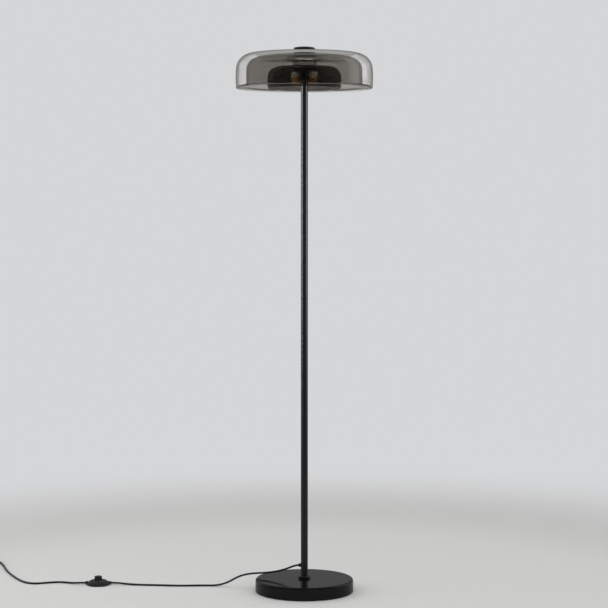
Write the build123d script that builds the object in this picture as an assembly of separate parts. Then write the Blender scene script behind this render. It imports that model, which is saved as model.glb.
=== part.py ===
from build123d import *
import math
import os

# Floor lamp: a polished stone base, a slim black pole in three sections, and three glass shells hung
# on one stem over two capsule lamps. A foot switch and a two-pin plug are on the cord.
# Millimetres, +Z up. The origin is on the floor under the middle of the base; the cord leaves to -X.

# Clearances, each on one side of a fit
SLIP_FIT = 0.15
PRESS_FIT = 0.05
THREAD_FIT = 0.1

# Base
BASE_DIAMETER = 280.0
BASE_THICKNESS = 36.0
BASE_TOP_ROUND = 6.0
BASE_FOOT_CHAMFER = 1.5
POCKET_DIAMETER = 66.0
POCKET_DEPTH = 16.0
FELT_THICKNESS = 1.5
FELT_INSET = 12.0
FELT_POCKET_MARGIN = 12.0
BASE_WASHER_DIAMETER = 50.0
BASE_WASHER_THICKNESS = 3.0
STUD_DIAMETER = 10.0
STUD_PLAY = 1.0
STUD_TAIL = 2.0
STUD_ENGAGEMENT = 20.0
NUT_FLATS = 17.0
NUT_HEIGHT = 8.0

# Pole
POLE_DIAMETER = 20.0
POLE_WALL = 1.5
POLE_END_CHAMFER = 0.3
SECTION_LENGTH = 483.0
SECTION_NAMES = ("pole_lower", "pole_middle", "pole_upper")
COUPLER_NAMES = ("lower_coupler", "upper_coupler")
COUPLER_LENGTH = 60.0
COUPLER_BORE = 9.0
FOOT_INSERT_LENGTH = 24.0
TOP_INSERT_LENGTH = 14.0
COLLAR_DIAMETER = 35.0
COLLAR_HEIGHT = 7.0
COLLAR_ROUND = 2.5

# Cord
CORD_DIAMETER = 5.6
CORD_LIFT = 0.1
CORD_EXIT_HEIGHT = 38.0
GROMMET_NECK = 8.4
GROMMET_HEAD = 10.6
GROMMET_NOSE = 8.0
GROMMET_REACH = 7.0
GROMMET_HEAD_LENGTH = 3.0
GROMMET_TAIL = 0.5
CABLE_BEND = 8.0
CORD_SIDE = 180.0

# Stem and what it clamps, from the pole's top upwards
STEM_DIAMETER = 10.0
STEM_BORE = 6.0
PLATE_DIAMETER = 60.0
PLATE_THICKNESS = 2.0
GASKET_THICKNESS = 1.0
GASKET_INSET = 2.0
NECK_RING_DIAMETER = 68.0
NECK_RING_HEIGHT = 13.0
NECK_RING_ROUND = 1.5
SPACER_DIAMETER = 64.0
SPACER_WAIST = 46.0
SPACER_HEIGHT = 13.0
SPACER_LIP = 1.2
CLAMP_WASHER_DIAMETER = 40.0
CLAMP_WASHER_THICKNESS = 2.0
CLAMP_NUT_HEIGHT = 6.0
CAP_DIAMETER = 61.0
CAP_HEIGHT = 19.5
CAP_WALL = 1.6
CAP_EDGE_ROUND = 5.0
CAP_CROWN = 2.0
CAP_LIFT = 0.3
CAP_BOSS_DIAMETER = 15.0
CAP_BOSS_LENGTH = 6.0

# Glass shells
GLASS_HOLE = 12.0
OUTER_DIAMETER = 388.0
OUTER_GLASS = 4.0
OUTER_DEPTH = 97.0
OUTER_BULGE_HEIGHT = 30.0
OUTER_BULGE_RADIUS = 300.0
OUTER_SHOULDER = 45.0
MIDDLE_DIAMETER = 328.5
MIDDLE_GLASS = 3.5
MIDDLE_BULGE_RADIUS = 1200.0
MIDDLE_SHOULDER = 37.0
MIDDLE_RISE = 11.0
MIDDLE_DIP_MARGIN = 1.0
MIDDLE_DIP_RUN = 27.0
BRIM_ROUND = 8.0
BRIM_LIFT = 2.0
BRIM_GAP = 0.8
DOME_DIAMETER = 209.0
DOME_GLASS = 3.5
DOME_DEPTH = 60.0
DOME_BULGE_HEIGHT = 19.0
DOME_BULGE_RADIUS = 150.0
DOME_SHOULDER = 28.0

# Lamps inside the dome
BRIDGE_DROP = 41.0
BRIDGE_THICKNESS = 5.0
BRIDGE_WIDTH = 20.0
BRIDGE_HUB_DIAMETER = 40.0
GRUB_DIAMETER = 3.0
LAMP_OFFSET = 24.5
LAMP_SIDES = (-LAMP_OFFSET, LAMP_OFFSET)
HOLDER_DIAMETER = 26.0
HOLDER_HEIGHT = 13.0
HOLDER_WALL = 1.2
HOLDER_BEAD = 0.9
HOLDER_BEAD_HEIGHT = 5.0
INSERT_HEIGHT = 9.0
RIVET_DIAMETER = 4.0
RIVET_HEAD = 7.0
RIVET_HEAD_HEIGHT = 1.2
LAMP_DIAMETER = 24.0
LAMP_LENGTH = 18.0
LAMP_WALL = 1.5
LAMP_FOOT_HEIGHT = 4.0
LAMP_PIN_DIAMETER = 2.0
LAMP_PIN_SPACING = 9.0
LAMP_PIN_DEPTH = 7.0
BLOCK_SIDE = 90.0
BLOCK_WIDTH = 18.0
BLOCK_DEPTH = 11.0
BLOCK_HEIGHT = 13.0
LEAD_DIAMETER = 2.6
LEAD_INSET = 2.8
LEAD_RISE = 9.0
LEAD_BEND = 4.0

# Foot switch
SWITCH_X = -600.0
SWITCH_Y = 88.0
SWITCH_DIAMETER = 65.0
SWITCH_SIDE = 5.0
SWITCH_HEIGHT = 15.5
SWITCH_FLAT_DIAMETER = 27.0
SWITCH_WALL = 2.2
SWITCH_FOOT_DIAMETER = 9.0
SWITCH_FOOT_HEIGHT = 1.0
SWITCH_FOOT_RADIUS = 22.0
SWITCH_FOOT_ANGLES = (45.0, 135.0, 225.0, 315.0)
SWITCH_COVER = 2.2
SWITCH_ENTRY_HEIGHT = 6.2
SWITCH_ENTRIES = (0.0, 180.0)
SWITCH_BOSS_REACH = 5.0
SWITCH_BOSS_DIAMETER = 11.0
SWITCH_NOSE_DIAMETER = 8.6
SWITCH_SCREW_RADIUS = 24.0
SWITCH_SCREW_BOSS = 6.0
SWITCH_SCREW_DIAMETER = 2.6
SWITCH_SCREW_HEAD = 4.6
SWITCH_SCREW_HEAD_HEIGHT = 1.2
SWITCH_SCREW_ANGLES = (90.0, 210.0, 330.0)
SWITCH_SCREW_LENGTH = 8.0
SWITCH_BLOCK_LENGTH = 22.0
SWITCH_BLOCK_WIDTH = 16.0
SWITCH_BLOCK_HEIGHT = 4.0
POST_DIAMETER = 5.4
POST_HEIGHT = 7.0
CONTACT_LENGTH = 5.0
CONTACT_WIDTH = 8.0
CONTACT_HEIGHT = 3.6
BUTTON_DIAMETER = 22.0
BUTTON_RISE = 10.5
BUTTON_WALL = 1.8
BUTTON_ROUND = 2.0
BUTTON_CLEARANCE = 0.3
FLANGE_REACH = 2.0
FLANGE_HEIGHT = 1.4
FLANGE_GAP = 0.4
SPRING_DIAMETER = 8.0
SPRING_WIRE = 0.9
SPRING_HALF_TURNS = 10

# Coil of the cord's spare length, its tie and the plug
COIL_X = -983.5
COIL_Y = 411.0
COIL_HEADING = 24.0
COIL_RADIUS = 38.0
COIL_PITCH = 7.4
COIL_LAYER = 6.4
COIL_FLOOR = 4.8
COIL_TURNS_IN_LAYER = 2
COIL_LEAD_IN = 58.0
TIE_WIDTH = 9.0
TIE_THICKNESS = 0.8
TIE_GAP = 1.0
TIE_ROUND = 2.5
PLUG_HEIGHT = 14.0
PLUG_WIDTH = 26.0
PLUG_LENGTH = 36.0
PLUG_ROUND = 5.0
PLUG_SHOULDER = 16.0
PLUG_SHOULDER_WIDTH = 14.0
RELIEF_LENGTH = 28.0
RELIEF_DIAMETER = 11.5
RELIEF_NOSE = 8.0
RELIEF_RINGS = 5
RELIEF_SLOT = 1.4
RELIEF_SLOT_DEPTH = 0.9
PLUG_PIN_DIAMETER = 4.0
PLUG_PIN_LENGTH = 19.0
PLUG_PIN_ROOT = 8.0
PLUG_PIN_ROOT_DIAMETER = 5.0
PLUG_PIN_SPACING = 19.0
PLUG_PIN_ROUND = 1.0

# Heights worked out from the sizes above
base_bottom = FELT_THICKNESS
base_top = base_bottom + BASE_THICKNESS
pocket_top = base_bottom + POCKET_DEPTH
pole_top = base_top + SECTION_LENGTH * len(SECTION_NAMES)
plate_top = pole_top + PLATE_THICKNESS
dome_seat = plate_top + GASKET_THICKNESS
dome_top = dome_seat + DOME_GLASS
neck_ring_seat = dome_top + GASKET_THICKNESS
neck_ring_top = neck_ring_seat + NECK_RING_HEIGHT
middle_seat = neck_ring_top + GASKET_THICKNESS
middle_flange_top = middle_seat + MIDDLE_GLASS
middle_top = middle_flange_top + MIDDLE_RISE
spacer_seat = middle_flange_top + GASKET_THICKNESS
spacer_top = spacer_seat + SPACER_HEIGHT
outer_seat = spacer_top + GASKET_THICKNESS
outer_top = outer_seat + OUTER_GLASS
outer_rim = outer_top - OUTER_DEPTH
clamp_seat = outer_top + GASKET_THICKNESS
nut_seat = clamp_seat + CLAMP_WASHER_THICKNESS
cap_bottom = outer_top + CAP_LIFT
cap_top = cap_bottom + CAP_HEIGHT
cap_ceiling = cap_top - CAP_WALL
bridge_bottom = pole_top - BRIDGE_DROP
bridge_top = bridge_bottom + BRIDGE_THICKNESS
holder_floor = bridge_top + HOLDER_WALL
holder_top = bridge_top + HOLDER_HEIGHT
rivet_top = holder_floor + RIVET_HEAD_HEIGHT
insert_top = rivet_top + INSERT_HEIGHT
lamp_foot_top = insert_top + LAMP_FOOT_HEIGHT
lead_height = bridge_top + LEAD_RISE
cable_top = bridge_top + BLOCK_HEIGHT / 2
cord_exit = base_top + CORD_EXIT_HEIGHT
grommet_end = POLE_DIAMETER / 2 + GROMMET_REACH
cord_floor = CORD_DIAMETER / 2 + CORD_LIFT

# Bores and fits worked out from the sizes above
pole_bore = POLE_DIAMETER - 2 * POLE_WALL
insert_diameter = pole_bore - 2 * PRESS_FIT
thread_hole = STUD_DIAMETER + 2 * THREAD_FIT
stem_hole = STEM_DIAMETER + 2 * THREAD_FIT
cord_hole = CORD_DIAMETER + 2 * PRESS_FIT
pole_hole = POLE_DIAMETER + 2 * SLIP_FIT
rivet_hole = RIVET_DIAMETER + 2 * PRESS_FIT
insert_diameter_in_cup = HOLDER_DIAMETER - 2 * HOLDER_WALL - 2 * SLIP_FIT
block_face = POLE_DIAMETER / 2 + SLIP_FIT
switch_nose = SWITCH_DIAMETER / 2 + SWITCH_BOSS_REACH

# The cord's route from the pole to the switch
ROUTE_TO_SWITCH = [
    (-grommet_end, 0.0, cord_exit),
    (-38.0, 0.0, cord_exit),
    (-66.0, 8.0, 57.0),
    (-108.0, 18.0, 47.0),
    (-152.0, 27.0, 46.0),
    (-188.0, 41.0, 36.0),
    (-220.0, 55.0, 14.5),
    (-252.0, 65.0, cord_floor),
    (-300.0, 68.0, cord_floor),
    (-362.0, 62.0, cord_floor),
    (-424.0, 71.0, cord_floor),
    (-484.0, 76.0, cord_floor),
    (-521.0, 86.0, 3.6),
    (SWITCH_X + 54.0, SWITCH_Y, SWITCH_ENTRY_HEIGHT),
    (SWITCH_X + switch_nose, SWITCH_Y, SWITCH_ENTRY_HEIGHT),
]

# The cord's route from the switch to the coil
ROUTE_TO_COIL = [
    (SWITCH_X - switch_nose, SWITCH_Y, SWITCH_ENTRY_HEIGHT),
    (SWITCH_X - 54.0, SWITCH_Y, SWITCH_ENTRY_HEIGHT),
    (-677.0, 97.0, 3.6),
    (-715.0, 118.0, cord_floor),
    (-752.0, 105.0, cord_floor),
    (-788.0, 90.0, cord_floor),
    (-820.0, 112.0, cord_floor),
    (-847.0, 160.0, cord_floor),
    (-875.0, 222.0, cord_floor),
    (-902.0, 292.0, cord_floor),
]

# The cord's route from the coil to the plug: along the coil's way out, beside it, and up
TAIL_STEPS = [
    (0.0, 0.0, COIL_FLOOR + COIL_LAYER),
    (20.0, 0.0, COIL_FLOOR + COIL_LAYER),
    (40.0, 2.5, PLUG_HEIGHT / 2),
    (58.0, 2.5, PLUG_HEIGHT / 2),
]


def post(diameter, bottom, top, x=0.0, y=0.0):
    """An upright cylinder between two heights."""
    seat = (Align.CENTER, Align.CENTER, Align.MIN)
    return Pos(x, y, bottom) * Cylinder(diameter / 2, top - bottom, align=seat)


def ring(diameter, bore, bottom, top, x=0.0, y=0.0):
    """An upright tube between two heights."""
    return post(diameter, bottom, top, x, y) - post(bore, bottom, top, x, y)


def block(length, width, bottom, top, x=0.0, y=0.0):
    """An upright box between two heights, centred on x and y."""
    seat = (Align.CENTER, Align.CENTER, Align.MIN)
    return Pos(x, y, bottom) * Box(length, width, top - bottom, align=seat)


def hexagon(flats, bore, bottom, top):
    """A hexagon nut between two heights."""
    face = RegularPolygon(flats / 2, 6, major_radius=False)
    return Pos(0, 0, bottom) * extrude(face, top - bottom) - post(bore, bottom, top)


def level(diameter, start, end, height, heading=0.0, x=0.0, y=0.0):
    """A level cylinder between two distances from an upright axis at x and y, on a heading in degrees."""
    seat = (Align.CENTER, Align.CENTER, Align.MIN)
    rod = Cylinder(diameter / 2, end - start, align=seat)
    return Pos(x, y, height) * Rot(0, 0, heading) * Pos(start, 0, 0) * Rot(0, 90, 0) * rod


def level_cone(first, last, start, end, height, heading=0.0):
    """A level cone between two distances from the Z axis, with a diameter at each end."""
    seat = (Align.CENTER, Align.CENTER, Align.MIN)
    taper = Cone(first / 2, last / 2, end - start, align=seat)
    return Pos(0, 0, height) * Rot(0, 0, heading) * Pos(start, 0, 0) * Rot(0, 90, 0) * taper


def turned(*edges):
    """A solid of revolution about Z from its closed half outline, edges in the XZ plane."""
    return revolve(make_face(edges), Axis.Z)


def arc_about(centre, radius, first, last):
    """An arc in the XZ plane about a centre (r, z), between two angles in degrees."""
    points = []
    for angle in (first, (first + last) / 2, last):
        turn = math.radians(angle)
        points.append((centre[0] + radius * math.cos(turn), 0, centre[1] + radius * math.sin(turn)))
    return ThreePointArc(*points)


def line(first, last):
    """A straight edge in the XZ plane between two points (r, z)."""
    return Line((first[0], 0, first[1]), (last[0], 0, last[1]))


def bell_line(diameter, glass, top, bulge_height, bulge_radius, shoulder, inner, rim):
    """The middle surface of a bell: flat crown from inner outwards, round shoulder, slightly bulged wall."""
    half = glass / 2
    wall = bulge_radius - half
    turn = shoulder - half
    centre = (diameter / 2 - half - wall, bulge_height)
    turn_height = top - half - turn
    turn_reach = centre[0] + math.sqrt((wall - turn) ** 2 - (turn_height - centre[1]) ** 2)
    join = math.degrees(math.atan2(turn_height - centre[1], turn_reach - centre[0]))
    rim_angle = math.degrees(math.asin((rim - centre[1]) / wall))
    return [
        line((inner, top - half), (turn_reach, top - half)),
        arc_about((turn_reach, turn_height), turn, 90, join),
        arc_about(centre, wall, join, rim_angle),
    ]


def shell(edges, thickness):
    """A glass shell of revolution with fire-polished edges, from the edges of its middle surface."""
    outline = Wire(edges).offset_2d(thickness / 2, kind=Kind.ARC, side=Side.BOTH)
    return revolve(make_face(outline.edges()), Axis.Z)


def half_turns(crossings):
    """Half circles through points on the X axis, given as (x, z), bulging to +Y and -Y in turn."""
    edges = []
    side = 1
    for (x0, z0), (x1, z1) in zip(crossings, crossings[1:]):
        reach = math.hypot(x1 - x0, z1 - z0) / 2
        middle = ((x0 + x1) / 2, side * reach, (z0 + z1) / 2)
        edges.append(ThreePointArc((x0, 0, z0), middle, (x1, 0, z1)))
        side = -side
    return edges


def swept(path, diameter):
    """A round tube along a path."""
    return sweep(Plane(origin=path @ 0, z_dir=path % 0) * Circle(diameter / 2), path=path)


def laid_cord(name, points, diameter):
    """A cord's tube along straight runs joined by arcs as large as the runs allow."""
    corners = [Vector(*point) for point in points]
    radii = []
    for before, corner, after in zip(corners, corners[1:], corners[2:]):
        turn = math.radians((corner - before).get_angle(after - corner))
        shorter = min((corner - before).length, (after - corner).length)
        radii.append(0.45 * shorter / math.tan(turn / 2))
    path = FilletPolyline(*corners, radius=radii)
    tube = swept(path, diameter)
    share = tube.volume / (math.pi * diameter ** 2 / 4 * path.length)
    print(name, "length", round(path.length, 1), "volume over section times length", round(share, 4))
    print(name, "radii", [round(radius) for radius in radii])
    return tube


def least_gap(path, diameter, samples=900):
    """The least gap between the turns of a wound tube, measured on points along its path."""
    places = [path @ (index / samples) for index in range(samples + 1)]
    apart = int(3 * diameter / path.length * samples)
    nearest = min(
        (places[first] - places[second]).length
        for first in range(samples + 1)
        for second in range(first + apart, samples + 1)
    )
    return nearest - diameter


def make_base():
    """The stone disc, its felt, and the washer, nut and stud that clamp the pole to it."""
    disc = post(BASE_DIAMETER, base_bottom, base_top)
    disc = fillet(disc.edges().group_by(Axis.Z)[-1], BASE_TOP_ROUND)
    disc = chamfer(disc.edges().group_by(Axis.Z)[0], BASE_FOOT_CHAMFER)
    disc -= post(POCKET_DIAMETER, base_bottom, pocket_top)
    disc -= post(STUD_DIAMETER + 2 * STUD_PLAY, pocket_top, base_top)
    felt_diameter = BASE_DIAMETER - 2 * FELT_INSET
    felt_bore = POCKET_DIAMETER + 2 * FELT_POCKET_MARGIN
    washer_bottom = pocket_top - BASE_WASHER_THICKNESS
    nut_bottom = washer_bottom - NUT_HEIGHT
    collar = ring(COLLAR_DIAMETER, pole_hole, base_top, base_top + COLLAR_HEIGHT)
    rims = collar.edges().filter_by(GeomType.CIRCLE).group_by(Axis.Z)[-1].sort_by(SortBy.RADIUS)
    collar = fillet(rims[-1], COLLAR_ROUND)
    return {
        "base_disc": disc,
        "base_felt": ring(felt_diameter, felt_bore, 0, base_bottom),
        "base_washer": ring(BASE_WASHER_DIAMETER, thread_hole, washer_bottom, pocket_top),
        "base_nut": hexagon(NUT_FLATS, thread_hole, nut_bottom, washer_bottom),
        "base_stud": post(STUD_DIAMETER, nut_bottom - STUD_TAIL, base_top + STUD_ENGAGEMENT),
        "base_collar": collar,
    }


def make_pole():
    """The pole's three tubes, the couplers inside them, and the inserts at its ends."""
    pieces = {}
    openings = level(GROMMET_NECK + 2 * PRESS_FIT, 0, POLE_DIAMETER, cord_exit, CORD_SIDE)
    openings += level(cord_hole, 0, POLE_DIAMETER, cable_top, BLOCK_SIDE)
    for index, name in enumerate(SECTION_NAMES):
        bottom = base_top + index * SECTION_LENGTH
        tube = ring(POLE_DIAMETER, pole_bore, bottom, bottom + SECTION_LENGTH)
        rims = tube.edges().filter_by(GeomType.CIRCLE).sort_by(SortBy.RADIUS)[-2:]
        pieces[name] = chamfer(rims, POLE_END_CHAMFER) - openings
    for index, name in enumerate(COUPLER_NAMES, start=1):
        seam = base_top + index * SECTION_LENGTH
        half = COUPLER_LENGTH / 2
        pieces[name] = ring(insert_diameter, COUPLER_BORE, seam - half, seam + half)
    foot_top = base_top + FOOT_INSERT_LENGTH
    top_bottom = pole_top - TOP_INSERT_LENGTH
    pieces["pole_foot_insert"] = ring(insert_diameter, thread_hole, base_top, foot_top)
    pieces["pole_top_insert"] = ring(insert_diameter, stem_hole, top_bottom, pole_top)
    return pieces


def make_cable():
    """The cable inside the pole, from the grommet up to the terminal block, and the grommet."""
    bend = CABLE_BEND
    slant = bend * (1 - math.sqrt(0.5))
    low_end = cord_exit + bend
    high_end = cable_top - bend
    path = Wire([
        Line((-grommet_end, 0, cord_exit), (-bend, 0, cord_exit)),
        ThreePointArc((-bend, 0, cord_exit), (-slant, 0, cord_exit + slant), (0, 0, low_end)),
        Line((0, 0, low_end), (0, 0, high_end)),
        ThreePointArc((0, 0, high_end), (0, slant, cable_top - slant), (0, bend, cable_top)),
        Line((0, bend, cable_top), (0, block_face, cable_top)),
    ])
    head_end = POLE_DIAMETER / 2 + GROMMET_HEAD_LENGTH
    grommet = level(GROMMET_HEAD, 0, head_end, cord_exit, CORD_SIDE)
    grommet += level_cone(GROMMET_HEAD, GROMMET_NOSE, head_end, grommet_end, cord_exit, CORD_SIDE)
    pole_seat = POLE_DIAMETER + 2 * PRESS_FIT
    grommet -= post(pole_seat, cord_exit - GROMMET_HEAD, cord_exit + GROMMET_HEAD)
    grommet += level(GROMMET_NECK, pole_bore / 2 - GROMMET_TAIL, head_end, cord_exit, CORD_SIDE)
    grommet -= level(cord_hole, 0, grommet_end, cord_exit, CORD_SIDE)
    return {"pole_cable": swept(path, CORD_DIAMETER), "cord_grommet": grommet}


def make_glass():
    """The three glass shells, from the inner dome outwards."""
    hole = GLASS_HOLE / 2
    dome_rim = dome_top - DOME_DEPTH
    dome = bell_line(
        DOME_DIAMETER, DOME_GLASS, dome_top, dome_rim + DOME_BULGE_HEIGHT, DOME_BULGE_RADIUS,
        DOME_SHOULDER, hole + DOME_GLASS / 2, dome_rim + DOME_GLASS / 2,
    )
    outer = bell_line(
        OUTER_DIAMETER, OUTER_GLASS, outer_top, outer_rim + OUTER_BULGE_HEIGHT, OUTER_BULGE_RADIUS,
        OUTER_SHOULDER, hole + OUTER_GLASS / 2, outer_rim + OUTER_GLASS / 2,
    )
    half = MIDDLE_GLASS / 2
    flat_end = NECK_RING_DIAMETER / 2 + MIDDLE_DIP_MARGIN
    sweep_angle = 2 * math.degrees(math.atan2(MIDDLE_RISE, MIDDLE_DIP_RUN))
    dip_radius = MIDDLE_DIP_RUN / (2 * math.sin(math.radians(sweep_angle)))
    low = middle_flange_top - half
    high = middle_top - half
    brim = outer_rim + BRIM_LIFT + half
    wall_end = brim + BRIM_ROUND
    widest = MIDDLE_DIAMETER / 2 - half
    brim_edge = outer_wall_radius(brim) - BRIM_GAP - half
    middle = [
        line((hole + half, low), (flat_end, low)),
        arc_about((flat_end, low + dip_radius), dip_radius, -90, -90 + sweep_angle),
        arc_about((flat_end + MIDDLE_DIP_RUN, high - dip_radius), dip_radius, 90 + sweep_angle, 90),
    ]
    middle += bell_line(
        MIDDLE_DIAMETER, MIDDLE_GLASS, middle_top, wall_end, MIDDLE_BULGE_RADIUS,
        MIDDLE_SHOULDER, flat_end + MIDDLE_DIP_RUN, wall_end,
    )
    middle.append(arc_about((widest + BRIM_ROUND, wall_end), BRIM_ROUND, 180, 270))
    middle.append(line((widest + BRIM_ROUND, brim), (brim_edge, brim)))
    return {
        "inner_glass_dome": shell(dome, DOME_GLASS),
        "middle_glass_shade": shell(middle, MIDDLE_GLASS),
        "outer_glass_shade": shell(outer, OUTER_GLASS),
    }


def outer_wall_radius(height):
    """The outer shell's inside radius at a height on its bulged wall."""
    rise = height - outer_rim - OUTER_BULGE_HEIGHT
    centre = OUTER_DIAMETER / 2 - OUTER_BULGE_RADIUS
    return centre + math.sqrt((OUTER_BULGE_RADIUS - OUTER_GLASS) ** 2 - rise ** 2)


def domed_plug(diameter, bottom, top, edge_round, crown):
    """A round plug with a rounded edge and a slightly domed top."""
    radius = diameter / 2
    reach = radius - edge_round
    side_top = top - crown - edge_round
    crown_radius = (reach ** 2 + crown ** 2) / (2 * crown)
    lean = math.degrees(math.asin(reach / crown_radius))
    return turned(
        line((0, bottom), (radius, bottom)),
        line((radius, bottom), (radius, side_top)),
        arc_about((reach, side_top), edge_round, 0, 90),
        arc_about((0, top - crown_radius), crown_radius, 90 - lean, 90),
        line((0, top), (0, bottom)),
    )


def make_stem():
    """The stem and the plate, gaskets, spacers, washer, nut and cap that hold the glass on it."""
    neck_ring = ring(NECK_RING_DIAMETER, stem_hole, neck_ring_seat, neck_ring_top)
    rims = neck_ring.edges().filter_by(GeomType.CIRCLE).sort_by(SortBy.RADIUS)[-2:]
    neck_ring = fillet(rims, NECK_RING_ROUND)
    flange = SPACER_DIAMETER / 2
    waist_height = (spacer_seat + spacer_top) / 2
    spacer = turned(
        line((stem_hole / 2, spacer_seat), (flange, spacer_seat)),
        line((flange, spacer_seat), (flange, spacer_seat + SPACER_LIP)),
        ThreePointArc(
            (flange, 0, spacer_seat + SPACER_LIP),
            (SPACER_WAIST / 2, 0, waist_height),
            (flange, 0, spacer_top - SPACER_LIP),
        ),
        line((flange, spacer_top - SPACER_LIP), (flange, spacer_top)),
        line((flange, spacer_top), (stem_hole / 2, spacer_top)),
        line((stem_hole / 2, spacer_top), (stem_hole / 2, spacer_seat)),
    )
    cap = domed_plug(CAP_DIAMETER, cap_bottom, cap_top, CAP_EDGE_ROUND, CAP_CROWN)
    cap -= domed_plug(
        CAP_DIAMETER - 2 * CAP_WALL, cap_bottom, cap_ceiling, CAP_EDGE_ROUND - CAP_WALL, CAP_CROWN,
    )
    boss_bottom = cap_ceiling - CAP_BOSS_LENGTH
    cap += post(CAP_BOSS_DIAMETER, boss_bottom, cap_top - CAP_WALL / 2)
    stem_top = cap_ceiling - CAP_WALL
    cap -= post(stem_hole, boss_bottom, cap_ceiling)
    nut_top = nut_seat + CLAMP_NUT_HEIGHT
    dome_gaskets = [gasket(PLATE_DIAMETER, plate_top), gasket(NECK_RING_DIAMETER, dome_top)]
    middle_gaskets = [gasket(NECK_RING_DIAMETER, neck_ring_top), gasket(SPACER_DIAMETER, middle_flange_top)]
    outer_gaskets = [gasket(SPACER_DIAMETER, spacer_top), gasket(CLAMP_WASHER_DIAMETER, outer_top)]
    return {
        "support_plate": ring(PLATE_DIAMETER, stem_hole, pole_top, plate_top),
        "stem_nipple": ring(STEM_DIAMETER, STEM_BORE, pole_top - TOP_INSERT_LENGTH, stem_top),
        "dome_gaskets": grouped(dome_gaskets),
        "neck_ring": neck_ring,
        "middle_gaskets": grouped(middle_gaskets),
        "neck_spacer": spacer,
        "outer_gaskets": grouped(outer_gaskets),
        "clamp_washer": ring(CLAMP_WASHER_DIAMETER, stem_hole, clamp_seat, nut_seat),
        "clamp_nut": hexagon(NUT_FLATS, stem_hole, nut_seat, nut_top),
        "top_cap": cap,
    }


def gasket(diameter, bottom):
    """A flat rubber gasket a little smaller than the piece that presses on it."""
    return ring(diameter - 2 * GASKET_INSET, GLASS_HOLE, bottom, bottom + GASKET_THICKNESS)


def make_lamps():
    """The bridge on the pole with its two lamp holders, their lamps and what fixes them."""
    bridge = block(2 * LAMP_OFFSET, BRIDGE_WIDTH, bridge_bottom, bridge_top)
    bridge += post(BRIDGE_HUB_DIAMETER, bridge_bottom, bridge_top)
    for x in LAMP_SIDES:
        bridge += post(BRIDGE_WIDTH, bridge_bottom, bridge_top, x)
        bridge -= post(rivet_hole, bridge_bottom, bridge_top, x)
    hub = BRIDGE_HUB_DIAMETER / 2
    grub_height = (bridge_bottom + bridge_top) / 2
    bridge -= post(pole_hole, bridge_bottom, bridge_top)
    bridge -= level(GRUB_DIAMETER + 2 * THREAD_FIT, 0, hub, grub_height, BLOCK_SIDE)
    grub = level(GRUB_DIAMETER, POLE_DIAMETER / 2 + PRESS_FIT, hub, grub_height, BLOCK_SIDE)
    pieces = {
        "lamp_bridge": bridge,
        "bridge_grub_screw": grub,
        "lamp_holders": [holder_cup(x) for x in LAMP_SIDES],
        "holder_inserts": [holder_insert(x) for x in LAMP_SIDES],
        "holder_rivets": [holder_rivet(x) for x in LAMP_SIDES],
        "capsule_lamps": [Pos(x, 0, 0) * lamp_envelope() for x in LAMP_SIDES],
        "lamp_feet": [lamp_foot(x) for x in LAMP_SIDES],
        "lamp_pins": [pin for x in LAMP_SIDES for pin in lamp_pins(x, LAMP_PIN_DIAMETER)],
    }
    return {name: grouped(piece) for name, piece in pieces.items()}


def holder_cup(x):
    """A lamp holder's spun metal cup, with a bead round it and a hole for its rivet."""
    cup = post(HOLDER_DIAMETER, bridge_top, holder_top, x)
    cup += Pos(x, 0, bridge_top + HOLDER_BEAD_HEIGHT) * Torus(HOLDER_DIAMETER / 2, HOLDER_BEAD)
    cup -= post(HOLDER_DIAMETER - 2 * HOLDER_WALL, holder_floor, holder_top, x)
    return cup - post(rivet_hole, bridge_top, holder_floor, x)


def holder_rivet(x):
    """The rivet that fixes a holder's cup to the bridge, with its head inside the cup."""
    return post(RIVET_DIAMETER, bridge_bottom, rivet_top, x) + post(RIVET_HEAD, holder_floor, rivet_top, x)


def holder_insert(x):
    """A lamp holder's ceramic insert, with two holes for the lamp's pins."""
    insert = post(insert_diameter_in_cup, rivet_top, insert_top, x)
    for pin in lamp_pins(x, LAMP_PIN_DIAMETER + 2 * THREAD_FIT):
        insert -= pin
    return insert


def lamp_foot(x):
    """A capsule lamp's foot, which stands on the insert and holds its two pins."""
    foot = post(insert_diameter_in_cup, insert_top, lamp_foot_top, x)
    for pin in lamp_pins(x, LAMP_PIN_DIAMETER + 2 * THREAD_FIT):
        foot -= pin
    return foot


def lamp_pins(x, diameter):
    """The two pins of a lamp, from inside the insert to the top of the foot."""
    bottom = insert_top - LAMP_PIN_DEPTH
    shift = LAMP_PIN_SPACING / 2
    return [post(diameter, bottom, lamp_foot_top, x, y) for y in (-shift, shift)]


def lamp_envelope():
    """A capsule lamp's frosted envelope: straight sides and a round top, open below."""
    radius = LAMP_DIAMETER / 2
    inner = radius - LAMP_WALL
    centre = lamp_foot_top + LAMP_LENGTH - radius
    return turned(
        line((inner, lamp_foot_top), (radius, lamp_foot_top)),
        line((radius, lamp_foot_top), (radius, centre)),
        arc_about((0, centre), radius, 0, 90),
        line((0, centre + radius), (0, centre + inner)),
        arc_about((0, centre), inner, 90, 0),
        line((inner, centre), (inner, lamp_foot_top)),
    )


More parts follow.
